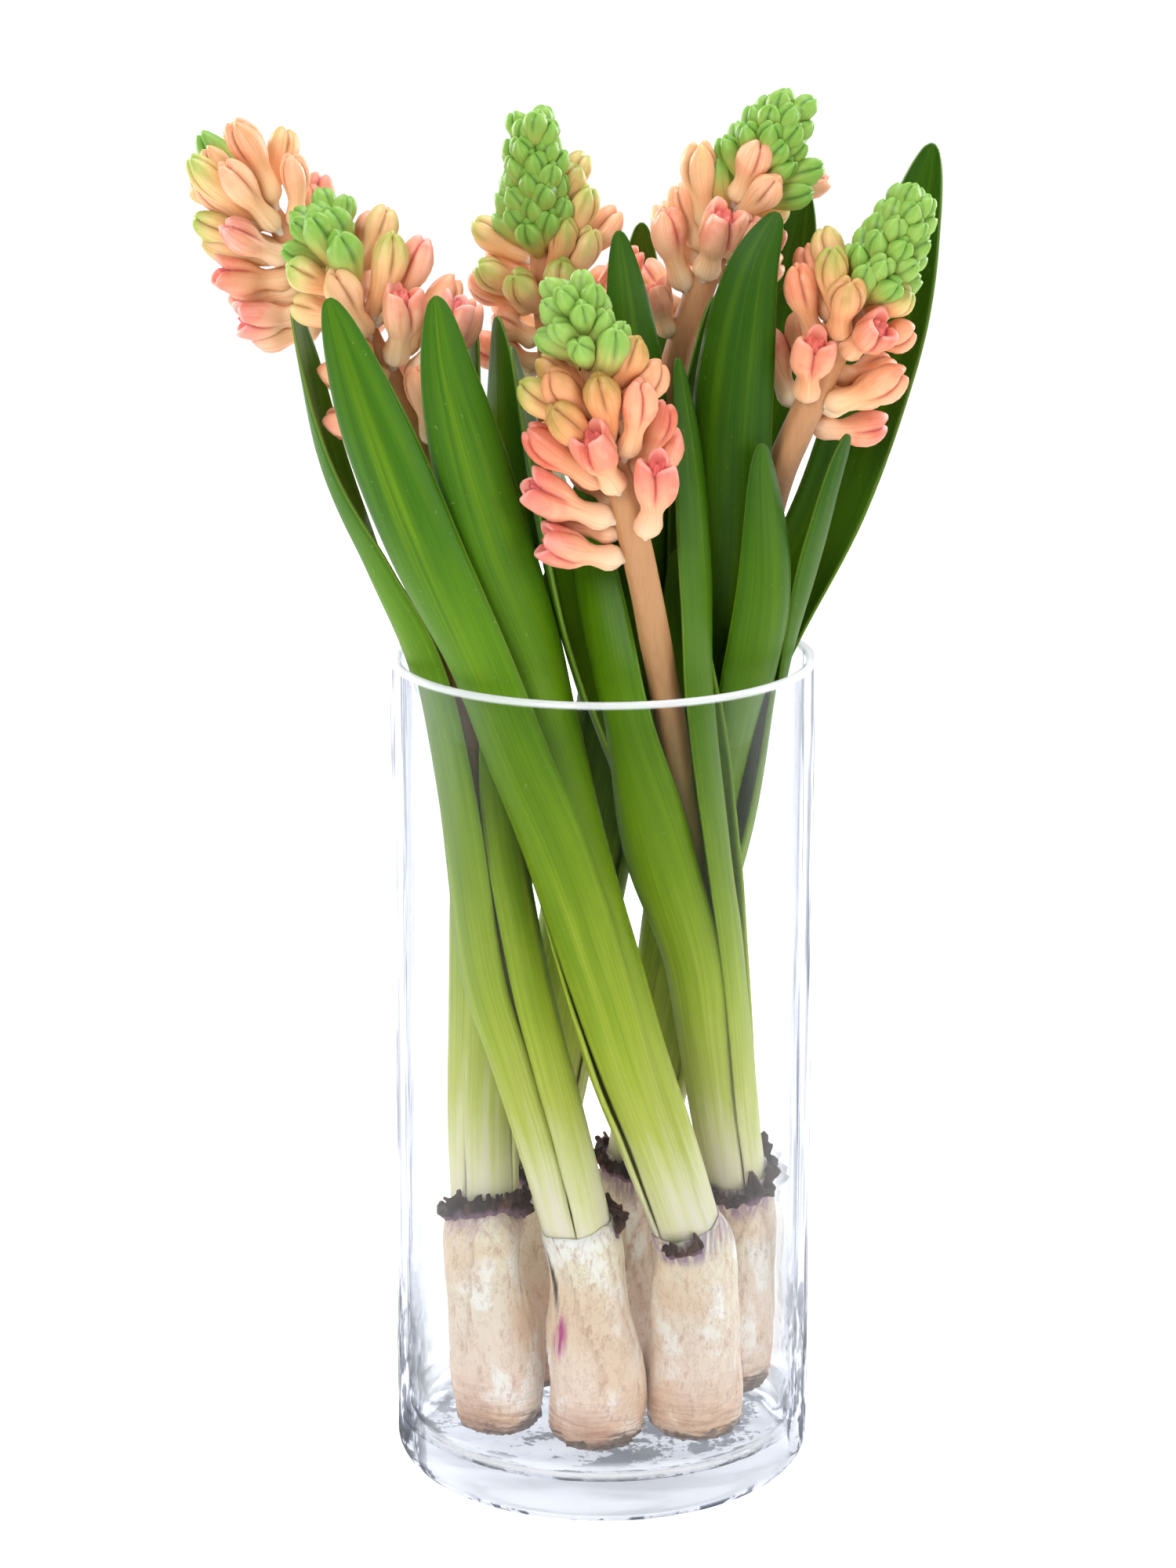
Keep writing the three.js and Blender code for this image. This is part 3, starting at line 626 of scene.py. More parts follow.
def makeLeaf(plant, leaf, name, material, seed):
    line = leafLine(plant, leaf)
    luck = random.Random(seed)
    # painted shade: the further right a leaf's tip lies, the lower this value and the darker the leaf, with a
    # random share on top
    tone = clamp(0.5 - leaf[2][-1][0] / 90 + luck.uniform(-0.3, 0.3)) * 2 - 1  # darker to the right
    shift = luck.uniform(0, 9)
    steps, sections = leafShape["faceSteps"], leafShape["sections"]
    rows = []
    for s in range(sections + 1):
        share = 1 - (1 - s / sections) ** leafShape["crowd"]
        axis = plant["neckAxis"] if s == 0 else line.tangent(share)
        back = squareTo(axis, line.at(share)[3])
        roll = readRows(leafRoll, share)
        half = leafWidth(plant, leaf[1], share, line.length) / 2 / roll
        rows.append((share, line.point(share), back, axis.cross(back), roll, half))

    def placeAt(column, row):
        share, middle, back, side, roll, half = rows[row]
        outer = column <= steps
        t = 2 * column / steps - 1 if outer else 1 - 2 * (column - steps - 1) / steps
        full = (1 - t * t) * clamp(4 * (1 - share) + 0.1)  # thin at its edges and towards its tip
        thick = leafShape["edge"] + (leafShape["thick"] - leafShape["edge"]) * full
        fromFoot, toTip = ease(*leafShape["rippleFrom"], share), ease(*leafShape["rippleTo"], 1 - share)
        spot = Vector((t * 1.7 + shift, share * 7, shift))
        lift = leafShape["ripple"] * fromFoot * toTip * noise.noise(spot)
        rise = share * line.length
        flush = (leafShape["thick"] - thick) / 2 * (1 - ease(*leafShape["flush"], rise))
        depth = (-1 if outer else 1) * thick / 2 - lift - flush
        bend = half * t
        place = middle + back * (roll * math.cos(bend) - roll - depth * math.cos(bend)) \
            + side * (roll * math.sin(bend) - depth * math.sin(bend))
        return place, {"along": rise, "across": t, "tone": tone, "inside": 0.0 if outer else 1.0}

    bm = newMesh()
    wrapGrid(bm, 2 * (steps + 1), sections, placeAt)
    bmesh.ops.holes_fill(bm, edges=[e for e in bm.edges if e.is_boundary], sides=0)
    keepClearOf(bm, "leaf")
    finishPiece(bm, name, material)


leafGreen = leafFinish()
for number, plant in enumerate(plants, 1):
    for index, leaf in enumerate(plant["leaves"], 1):
        makeLeaf(plant, leaf, f"leaf_{number}_{index}", leafGreen, 10 * number + index)
print("leaves made")


# flower stalks, which run on through the heads
stalkShape = {
    "radius": 4.3 * mm, "tip": 1.6 * mm, "around": 24, "along": 90, "top": 0.965, "gap": 0.3 * mm,
    "ribs": 0.14 * mm, "ribCount": 7, "ribTwist": 3, "bumps": 0.25 * mm,
}


def stalkFinish():
    f = Finish("tan stalk")
    along, = f.readings("along")
    fibres = f.grain(1500, 2, 0.5, (1, 1, 0.03))
    blotch = f.grain(70, 3, 0.5, (1, 1, 0.4))
    colour = f.ramp(along * 3 + (blotch - 0.5) * 0.2, (0, (214, 208, 160)), (0.3, (168, 160, 92)),
                    (0.5, (178, 134, 88)), (0.8, (196, 142, 98)), (1, (222, 160, 120)))
    colour = f.blend(fibres.ease(0.35, 0.75) * 0.22, colour, (206, 168, 136), "MULTIPLY")
    f.set(baseColor=colour, roughness=0.40 + fibres * 0.12, normal=f.bump(fibres, 0.2 * mm, 0.2),
          subsurfaceWeight=0.12, subsurfaceRadius=(1.0, 0.5, 0.3), subsurfaceScale=0.003)
    return f.owner


def makeStalk(plant, number, material):
    line = plant["line"]
    around, along = stalkShape["around"], stalkShape["along"]

    def placeAt(column, row):
        share = stalkShape["top"] * clamp((row - 1) / (along - 2))
        axis = line.tangent(share)
        centre = line.point(share)
        if row <= 1:
            centre = centre + axis * stalkShape["gap"]
        angle = 2 * math.pi * column / around
        radius = 0
        if 0 < row < along:
            radius = mix(stalkShape["radius"], stalkShape["tip"], ease(plant["headFoot"], 1.05, share))
            turned = stalkShape["ribCount"] * angle + stalkShape["ribTwist"] * share
            rib = stalkShape["ribs"] * math.cos(turned)
            spot = Vector((math.cos(angle), math.sin(angle), share * 22 + number * 7))
            radius += rib + stalkShape["bumps"] * noise.noise(spot)
        side = squareTo(axis, 0)
        place = ringPoint(centre, side, axis.cross(side), radius, angle)
        return place, {"along": share * line.length, "across": column / around}

    bm = newMesh()
    wrapGrid(bm, around, along, placeAt)
    keepClearOf(bm, number)
    finishPiece(bm, f"stalk_{number}", material)


tanStalk = stalkFinish()
for number, plant in enumerate(plants, 1):
    makeStalk(plant, number, tanStalk)
print("stalks made")


# florets and buds
floretRule = {
    "length": 22 * mm, "width": 10.4 * mm, "core": 5 * mm, "turn": 137.5, "rootDepth": 0.35, "reach": 0.65,
    "squeeze": 0.38, "budRoom": 0.62, "fullTo": 0.93, "youngFrom": 0.62, "back": 0.45, "slim": 0.4,
    "uneven": 0.12, "heart": 0.72, "closer": (0, 10, 20), "turned": (0, 10, -10, 20, -20),
    "seenRoot": 2.2 * mm, "seenSag": 0.05, "nearer": (0, 2, -2, 4, -4, 6, -6, 9, -9, 12, -12), "steps": 80,
}
# lean, size and sag go from the foot of each colour to its top
floretSorts = {
    "salmon": {"lean": (80, 52), "size": (1, 0.7), "sag": (0.09, 0.02), "long": 1.06, "wide": 1, "ripe": 1},
    "green": {"lean": (58, 24), "size": (0.6, 0.44), "sag": (0, 0), "long": 0.96, "wide": 0.94, "ripe": 0.5},
}
# rows up a floret: share of its length, half width, depth of the three creases, how far they drop at the tip,
# how far inside; what is 0 at the end of a row is left out, and the last rows turn in over the blunt tip
closedRows = [
    (0, 0.22), (0.05, 0.25), (0.085, 0.3), (0.12, 0.5), (0.17, 0.66, 0.02), (0.24, 0.7, 0.03),
    (0.32, 0.62, 0.04), (0.4, 0.56, 0.05), (0.48, 0.62, 0.08), (0.56, 0.78, 0.12), (0.65, 0.94, 0.15),
    (0.74, 1, 0.17), (0.83, 0.95, 0.21), (0.9, 0.83, 0.26, 0.01), (0.95, 0.68, 0.34, 0.04),
    (0.985, 0.5, 0.42, 0.08), (1, 0.32, 0.45, 0.1), (0.98, 0.15, 0.3, 0.05), (0.94, 0),
]
youngRows = [
    (0, 0.42), (0.06, 0.44), (0.12, 0.5), (0.2, 0.58, 0.02), (0.28, 0.64, 0.03), (0.36, 0.68, 0.05),
    (0.45, 0.76, 0.07), (0.54, 0.88, 0.1), (0.64, 0.97, 0.13), (0.74, 1, 0.16), (0.83, 0.93, 0.2),
    (0.9, 0.79, 0.25, 0.01), (0.95, 0.63, 0.32, 0.03), (0.985, 0.43, 0.38, 0.06), (1, 0.24, 0.4, 0.07),
    (0.97, 0),
]
openRows = [
    (0, 0.2), (0.05, 0.23), (0.085, 0.28), (0.12, 0.48), (0.17, 0.64, 0.02), (0.24, 0.68, 0.03),
    (0.32, 0.58, 0.04), (0.4, 0.52, 0.06), (0.47, 0.6, 0.1), (0.54, 0.8, 0.16), (0.62, 0.96, 0.22),
    (0.71, 1.04, 0.28), (0.8, 1.07, 0.36, 0.02), (0.88, 1.05, 0.46, 0.06), (0.94, 1.01, 0.55, 0.11),
    (0.985, 0.94, 0.6, 0.16), (1, 0.84, 0.6, 0.18), (0.985, 0.7, 0.48, 0.15, 0.2),
    (0.93, 0.58, 0.3, 0.08, 0.5), (0.86, 0.52, 0.12, 0.02, 1), (0.83, 0.47, 0, 0, 1),
    (0.89, 0.48, -0.3, -0.03, 1), (0.94, 0.42, -0.45, -0.05, 1), (0.96, 0.3, -0.45, -0.06, 1),
    (0.92, 0.18, -0.2, -0.03, 1), (0.84, 0, 0, 0, 1),
]
budRows = [
    (0, 0.62), (0.15, 0.74, 0.02), (0.32, 0.9, 0.06), (0.5, 1, 0.1), (0.66, 1.04, 0.17),
    (0.79, 0.97, 0.24, 0.01), (0.89, 0.8, 0.33, 0.04), (0.96, 0.56, 0.42, 0.08), (1, 0.3, 0.45, 0.11),
    (0.95, 0),
]
# each kind's rows, columns and how far one of the golden angle keeps from the next, in their mean half width
floretKinds = {
    "open": (openRows, 30, 1.55), "closed": (closedRows, 24, 1.55), "young": (youngRows, 24, 1.55),
    "bud": (budRows, 18, 1.45),
}
tepal = {
    "crease": 0.17, "softCrease": 0.45, "deepCrease": 0.25, "keel": 0.085, "keelWide": 0.11, "lumps": 0.035,
    "spiral": 0.05,
}


def aimFloret(plant, on, root, way, length):
    axis = plant["line"].tangent(on)
    return {"root": root, "way": way, "up": (axis - way * axis.dot(way)).normalized(), "length": length}


def seenFlorets(plant, luck):
    line, foot = plant["line"], plant["headFoot"]
    count = floretRule["steps"]
    shares = [foot + (1 - foot) * i / count for i in range(count + 1)]
    for tipX, tipY, footX, footY, toward, half, kind, ripe in plant["seen"]:
        on = min(shares, key=lambda share: math.dist(photoPixel(line.point(share)), (footX, footY)))
        middle, axis = line.point(on), line.tangent(on)

        def aim(nearer):
            tip = photoPoint(tipX, tipY, middle.y - (toward + nearer) * mm)
            out = tip - middle
            out = (out - axis * axis.dot(out)).normalized()
            root = middle + out * floretRule["seenRoot"]
            return aimFloret(plant, on, root, (tip - root).normalized(), (tip - root).length)

        twist, wide = luck.random(), luck.uniform(-1, 1)
        yield [aim(nearer) for nearer in floretRule["nearer"]], {
            "kind": kind, "ripe": ripe, "half": half * mm, "twist": twist, "sag": floretRule["seenSag"],
            "luck": wide, "tone": wide + plant["deep"],
        }


def ruleFlorets(plant, luck):
    # the rest follow the golden angle, as on the CAD part
    rule, counts = floretRule, plant["florets"]
    line, foot = plant["line"], plant["headFoot"]
    salmonShare = counts["salmon"] / (counts["salmon"] + rule["budRoom"] * counts["green"])
    salmon, green = plant["full"]
    for i in range(salmon + green):
        isGreen = i >= salmon
        sort = floretSorts["green" if isGreen else "salmon"]
        step = (i - salmon + 0.5) / green if isGreen else (i + 1) / (salmon + 1)
        share = salmonShare + (1 - salmonShare) * step * rule["fullTo"] if isGreen else salmonShare * step
        size = mix(*sort["size"], step)
        length = (rule["length"] + rule["core"] * rule["reach"]) * size * sort["long"]
        on = foot + (1 - foot) * share
        axis = line.tangent(on)

        def aim(turned, closer):
            azimuth = counts["phase"] + i * rule["turn"] + turned
            squeeze = 1 - rule["squeeze"] * max(0, math.cos(math.radians(azimuth - counts["press"])))
            tilt = math.radians(mix(*sort["lean"], step) * squeeze - closer)
            out = squareTo(axis, azimuth)
            root = line.point(on) + out * (rule["core"] * rule["rootDepth"])
            return aimFloret(plant, on, root, axis * math.cos(tilt) + out * math.sin(tilt), length)

        tries = [aim(turned, closer) for closer in rule["closer"] for turned in rule["turned"]]
        if not isGreen:
            tries = [aimed for aimed in tries if aimed["way"].y > rule["back"]]
        wide = luck.uniform(-1, 1)
        yield tries, {
            "kind": "bud" if isGreen else "closed" if step < rule["youngFrom"] else "young",
            "half": rule["width"] / 2 * mix(rule["slim"], 1, size) * sort["wide"], "twist": luck.random(),
            "sag": mix(*sort["sag"], step), "luck": wide, "tone": wide + plant["deep"],
            "ripe": clamp((1 - step) * sort["ripe"] + rule["uneven"] * wide),
        }


def addFloret(bm, floret, rows, around):
    way, up = floret["way"], floret["up"]
    side = way.cross(up)
    length, half = floret["length"], floret["half"]
    sag = length * floret["sag"]

    def placeAt(column, row):
        share, wide, depth, drop, inner = (*rows[row], 0, 0, 0)[:5]
        part = (column / around * 3) % 1
        off = min(part, 1 - part)  # 0 in the crease between two outer tepals, 0.5 along a tepal's middle
        swing = 0.5 * math.cos(2 * math.pi * off)
        narrow = max(0.0, 1 - off / tepal["crease"])
        crease = narrow if depth < tepal["deepCrease"] else mix(narrow, 0.5 + swing, tepal["softCrease"])
        if depth < 0:
            crease = 0.5 - swing
        keel = tepal["keel"] * math.exp(-((0.5 - off) / tepal["keelWide"]) ** 2) * ease(0.5, 0.75, share)
        spot = Vector((3 * math.cos(2 * math.pi * off), share * 6, 9 * floret["luck"]))
        lumps = tepal["lumps"] * noise.noise(spot) if row else 0
        radius = half * wide * (1 - abs(depth) * crease + keel + lumps)
        angle = 2 * math.pi * (column / around + floret["twist"] + tepal["spiral"] * share)
        along = length * (share - abs(drop) * crease)
        centre = floret["root"] + way * along - up * (4 * sag * share * (1 - share))
        return ringPoint(centre, side, up, radius, angle), {
            "along": share, "across": 2 * off, "crease": narrow * ease(0.4, 0.6, share),
            "ripe": floret["ripe"], "tone": floret["tone"], "inside": inner,
        }

    wrapGrid(bm, around, len(rows) - 1, placeAt)


def floretFinish():
    f = Finish("salmon petals")
    along, across, crease = f.readings("along", "across", "crease")
    ripe, tone, inside = f.readings("ripe", "tone", "inside")
    mottled = f.grain(260, 3, 0.6)
    cloud = f.grain(110)
    veins = f.noise((across * 7, along * 1.6, tone * 40), 1.0, 2, 0.6)
    up = along + (mottled - 0.5) * 0.16
    young = f.ramp(up, (0, (240, 190, 140)), (0.35, (242, 188, 132)), (0.6, (242, 196, 142)),
                   (0.8, (220, 200, 130)), (1, (164, 188, 90)))
    grown = f.ramp(up, (0, (242, 230, 206)), (0.14, (242, 218, 180)), (0.3, (244, 208, 160)),
                   (0.5, (242, 194, 146)), (0.75, (244, 190, 150)), (1, (240, 176, 138)))
    opened = f.ramp(up, (0, (244, 236, 220)), (0.14, (240, 218, 188)), (0.35, (240, 204, 168)),
                    (0.55, (242, 190, 156)), (0.8, (238, 160, 138)), (1, (230, 130, 126)))
    # olive keels down the middle of each young tepal and a painted highlight along the keels of ripe ones;
    # dark lines between them, partly the tepals' own darker edges and partly painted shade in the creases
    keel = (across + (mottled - 0.5) * 0.3).ease(0.55, 1) * along.ease(0.5, 0.95)
    flush = (cloud + mottled * 0.5).ease(0.72, 0.95) * ripe.ease(0.3, 0.7) * along.ease(0.4, 0.7)
    edge = f.blend(ripe.ease(0.25, 0.8), (166, 116, 58), (190, 66, 60))
    colour = f.layers(
        young,
        (ripe.ease(0.16, 0.5), grown),
        ((ripe + (cloud - 0.5) * 0.3).ease(0.6, 1.05), opened),
        (keel * (1 - ripe.ease(0.2, 0.6)) * 0.6, (160, 172, 76)),
        (keel * ripe.ease(0.6, 1) * 0.3, (248, 210, 198)),
        (flush * 0.5, (232, 128, 106)),
        (veins.ease(0.5, 0.7) * 0.45, (240, 188, 160), "MULTIPLY"),
        ((crease ** 2.6) * along.ease(0.4, 0.75), edge),
        ((1 - along.ease(0.06, 0.1)) * 0.8, (238, 234, 224)),
        (along.ease(0.955, 1) * ripe.ease(0.6, 0.9) * 0.45, (250, 206, 200)),
        (inside * 0.65, (222, 96, 104)),
        # painted shade in part: a multiply by each floret's random tone and its head's deep value
        (tone.ease(-1.2, 2.4) * 0.8, (236, 190, 164), "MULTIPLY"))
    f.set(baseColor=colour, roughness=0.40 + (mottled - 0.5) * 0.25, specularIORLevel=0.4,
          normal=f.bump(veins * 0.8 + mottled * 0.9 - (crease ** 2.0) * 1.2, 0.4 * mm, 0.4),
          subsurfaceWeight=0.25, subsurfaceRadius=(1.0, 0.5, 0.28), subsurfaceScale=0.003)
    return f.owner


def budFinish():
    f = Finish("green buds")
    along, crease, ripe, tone, across = f.readings("along", "crease", "ripe", "tone", "across")
    mottled = f.grain(300, 3, 0.6)
    veins = f.noise((across * 5, along * 1.5, tone * 40), 1.0, 2, 0.6)
    green = f.ramp(along + (mottled - 0.5) * 0.2, (0, (176, 160, 84)), (0.3, (160, 180, 82)),
                   (0.6, (140, 180, 76)), (1, (118, 166, 60)))
    colour = f.layers(
        green,
        (ripe * (1 - along.ease(0.3, 0.9)), (228, 176, 116)),
        (veins.ease(0.45, 0.7) * 0.45, (104, 158, 54)),
        # painted shade: darker green in the grooves between the tepals
        ((crease ** 2.0) * 0.9, (58, 106, 26)),
        # painted highlight: lighter green along each tepal's middle
        (across.ease(0.7, 1) * along.ease(0.4, 0.9) * 0.3, (176, 200, 112)),
        # lighter green by each bud's random tone and, as painted light, by its head's deep value
        (tone.ease(-1, 2.4) * 0.5, (160, 192, 100)))
    f.set(baseColor=colour, roughness=0.42, specularIORLevel=0.35,
          normal=f.bump(mottled + veins * 0.6, 0.3 * mm, 0.4),
          subsurfaceWeight=0.15, subsurfaceRadius=(0.5, 1.0, 0.25), subsurfaceScale=0.002)
    return f.owner


def makeHead(plant, number, petals, greens):
    flowers, buds = newMesh(), newMesh()
    luck = random.Random(number)
    placed = []
    dropped = 0
    for source in (seenFlorets, ruleFlorets):
        for tries, floret in source(plant, luck):
            rows, around, room = floretKinds[floret["kind"]]
            for aimed in tries:
                candidate = {**floret, **aimed}
                heart = candidate["root"] + candidate["way"] * (candidate["length"] * floretRule["heart"])
                crowded = any((heart - other).length < room * 0.5 * (half + floret["half"])
                              for other, half in placed)
                if crowded and source == ruleFlorets:
                    continue
                trial = newMesh()
                addFloret(trial, candidate, rows, around)
                tree = BVHTree.FromBMesh(trial)
                trial.free()
                if not any(tree.overlap(other) for owner, other in obstacles if owner != number):
                    break
            else:
                dropped += 1
                continue
            placed.append((heart, floret["half"]))
            addFloret(buds if floret["kind"] == "bud" else flowers, candidate, rows, around)
    print("head", number, "florets", len(placed), "left out", dropped)
    for bm in (flowers, buds):
        keepClearOf(bm, number)
    finishPiece(flowers, f"florets_{number}", petals)
    finishPiece(buds, f"buds_{number}", greens)


salmonPetals = floretFinish()
greenBuds = budFinish()
for number, plant in enumerate(plants, 1):
    makeHead(plant, number, salmonPetals, greenBuds)
print("flower heads made")


# bulbs
bulbShape = {
    "foot": 12.3 * mm, "upright": 22 * mm, "bend": 0.55, "around": 72, "along": 64, "neck": 0.97,
    "straight": (0.1, 0.3), "lump": 2.3 * mm, "wrinkle": 0.3 * mm, "roots": 2.0 * mm, "rootsTo": 0.1,
    "rim": 2.4 * mm, "uneven": 0.55, "scales": 4, "scale": 0.6 * mm, "scaleFall": 12, "scaleLine": 0.035,
    "purple": [0.5, 0.0, 0.9, 1.0, 1.0, 1.0],
}
bulbRadius = [(0, 6.5 * mm), (0.035, 10.8 * mm), (0.13, 13.2 * mm), (0.3, 13.9 * mm), (0.5, 12.9 * mm),
              (0.72, 11.0 * mm), (0.9, 10.4 * mm), (1, 10.08 * mm)]
# rows over the rim and in to the middle: radius, share of the rim's rise, and how far above that
bulbMouth = [(9.98 * mm, 1, 0.12 * mm), (9.92 * mm, 1, 0), (9.88 * mm, 0, 0.1 * mm), (8.9 * mm, 0, -0.3 * mm),
             (0, 0, -0.3 * mm)]
# the magenta streak and the dark strand on the second bulb: azimuth and height, how wide and tall, and how
# many degrees they lean over their height
bulbStains = {
    "ripe": {"azimuth": -136, "height": 48 * mm, "wide": 17, "tall": 9 * mm, "lean": 4},
    "inside": {"azimuth": -156, "height": 64 * mm, "wide": 8, "tall": 13 * mm, "lean": -14},
}


def bulbFinish():
    f = Finish("peeled bulb")
    along, tone, crease, stain, strand = f.readings("along", "tone", "crease", "ripe", "inside")
    veins = f.grain(520, 3, 0.6, (1, 1, 0.05))
    patches = f.grain(75, 4, 0.6, (1, 1, 0.7))
    cloud = f.grain(38, 3, 0.5)
    rings = f.grain(900, 3, 0.7, (0.1, 0.1, 1))
    flecks = f.grain(330, 4, 0.75, (1, 1, 0.5))
    net = f.grain(150, 5, 0.75, (1, 1, 0.6))
    skin = f.ramp(along + (patches - 0.5) * 0.4, (0, (176, 138, 114)), (0.1, (208, 170, 146)),
                  (0.24, (238, 212, 192)), (0.5, (238, 220, 200)), (0.8, (238, 226, 200)),
                  (1, (240, 234, 204)))
    low = 1 - (along + (patches - 0.5) * 0.3).ease(0.02, 0.36)
    plate = (rings * 0.5 + patches * 0.9 - along * 3.6 - 0.12).ease(0.2, 0.42)
    purple = tone * (along + (patches - 0.5) * 0.1).ease(0.84, 0.93) * veins.ease(0.3, 0.6)
    colour = f.layers(
        skin,
        (veins.ease(0.5, 0.75) * 0.3, (220, 186, 158)),
        # near-white patches: partly the paler, translucent flesh and partly painted highlight
        (patches.ease(0.52, 0.60) * 0.75, (252, 248, 240)),
        (cloud.ease(0.48, 0.60) * 0.55, (232, 198, 162)),
        (flecks.ease(0.54, 0.66) * 0.5, (190, 142, 110)),
        ((1 - abs(net - 0.5).ease(0, 0.035)) * 0.35, (196, 158, 128)),
        (low * rings.ease(0.42, 0.62) * 0.65, (168, 116, 88)),
        (plate * 0.85, (78, 58, 48)),
        ((crease ** 2) * 0.55, (186, 138, 108)),
        (stain * (veins.ease(0.32, 0.6) * 0.65 + 0.35), (182, 66, 128)),
        (strand, (50, 32, 30)),
        (purple * 0.8, (138, 92, 134)))
    height = veins * 0.35 + rings * 0.35 + patches * 0.7
    f.set(baseColor=colour, roughness=0.32 + patches * 0.2, normal=f.bump(height, 1.2 * mm, 0.9),
          subsurfaceWeight=0.22, subsurfaceRadius=(1.0, 0.65, 0.4), subsurfaceScale=0.004)
    return f.owner


def makeBulb(plant, number, material):
    x, y = (v * mm for v in plant["bulb"])
    neck = Vector(plant["stem"][0])
    step = Vector(plant["stem"][1]) - neck
    foot = bulbShape["foot"]
    line = SmoothLine([(x, y, foot), (x, y, foot + bulbShape["upright"]),
                       tuple(neck - step * bulbShape["bend"]), tuple(neck)])
    luck = random.Random(40 + number)
    edges = [(luck.uniform(0, 1), luck.uniform(-0.3, 0.3), luck.uniform(0.1, 0.45))
             for _ in range(bulbShape["scales"])]
    shift = luck.uniform(0, 50)
    around, along = bulbShape["around"], bulbShape["along"]
    outer = along - len(bulbMouth)  # rows up the outside

    def placeAt(column, row):
        share = clamp((row - 1) / (outer - 1))
        turn = column / around
        angle = 2 * math.pi * turn
        aim = plant["neckAxis"] if share > bulbShape["neck"] else line.tangent(share)
        axis = Vector((0, 0, 1)).lerp(aim, ease(*bulbShape["straight"], share)).normalized()
        side = squareTo(axis, 0)
        ring = Vector((math.cos(angle), math.sin(angle), 0))
        lump = wobble(ring, 0.9, shift, 0, share * 2.6) * ease(0, 0.12, share) * (1 - ease(0.86, 1, share))
        radius = readCurve(bulbRadius, share) + bulbShape["lump"] * lump
        radius += bulbShape["wrinkle"] * wobble(ring, 5, 0, shift, share * 8)
        crease = 0.0
        for start, lean, low in edges:
            # the edge of one fleshy scale over the next
            behind = (turn - start - lean * share) % 1
            fade = ease(low, low + 0.2, share)
            radius += bulbShape["scale"] * fade * math.exp(-behind * bulbShape["scaleFall"])
            crease = max(crease, fade * (1 - ease(0.0, bulbShape["scaleLine"], 1 - behind)))
        if share < bulbShape["rootsTo"]:  # torn stumps of the roots
            radius += bulbShape["roots"] * wobble(ring, 9, shift, 3, share * 60)
        rim = bulbShape["rim"] * (0.85 + bulbShape["uneven"] * wobble(ring, 2.2, shift, 7, 0))
        lift = ease(0.8, 1, share) * rim
        if row > outer:
            radius, part, above = bulbMouth[row - outer - 1]
            lift = rim * part + above
        if row == 0:
            radius = 0
        centre = line.point(share)
        place = ringPoint(centre + axis * lift, side, axis.cross(side), radius, angle)
        values = {"along": share, "crease": crease, "tone": bulbShape["purple"][number - 1]}
        if number == 2:
            azimuth = math.degrees(math.atan2(place.y - centre.y, place.x - centre.x))
            for mark, stain in bulbStains.items():
                rise = (place.z - stain["height"]) / stain["tall"]
                turned = (azimuth - stain["azimuth"] - stain["lean"] * rise + 180) % 360 - 180
                values[mark] = 1 - ease(0.35, 1, math.hypot(turned / stain["wide"], rise))
        return place, values

    bm = newMesh()
    wrapGrid(bm, around, along, placeAt)
    finishPiece(bm, f"bulb_{number}", material)


peeledBulb = bulbFinish()
for number, plant in enumerate(plants, 1):
    makeBulb(plant, number, peeledBulb)
print("bulbs made")


# dry skin round the necks
skinShape = {
    "radius": 11.6 * mm, "below": 2.2 * mm, "height": 3.4 * mm, "ragged": 5.5 * mm, "least": 0.7 * mm,
    "tears": [(1.1, 2.6), (0.45, 6.5), (0.25, 19)],  # how deep and how close
    "crumple": 2.8 * mm, "flare": 1.4 * mm, "press": 0.5 * mm, "thick": 0.8 * mm, "up": 16, "around": 200,
}


def skinFinish():
    f = Finish("dry brown skin")
    along, = f.readings("along")
    fibres = f.grain(700, 3, 0.7, (1, 1, 0.2))
    patches = f.grain(160, 3)
    brown = f.ramp(patches, (0.25, (22, 12, 9)), (0.5, (54, 29, 20)), (0.75, (104, 64, 44)))
    colour = f.layers(brown, (fibres.ease(0.5, 0.75) * 0.4, (116, 78, 54)),
                      ((1 - along.ease(0.1, 0.4)) * 0.7, (134, 98, 122)))
    f.set(baseColor=colour, roughness=0.55 + fibres * 0.25, normal=f.bump(fibres + patches, 0.6 * mm, 0.7))
    return f.owner


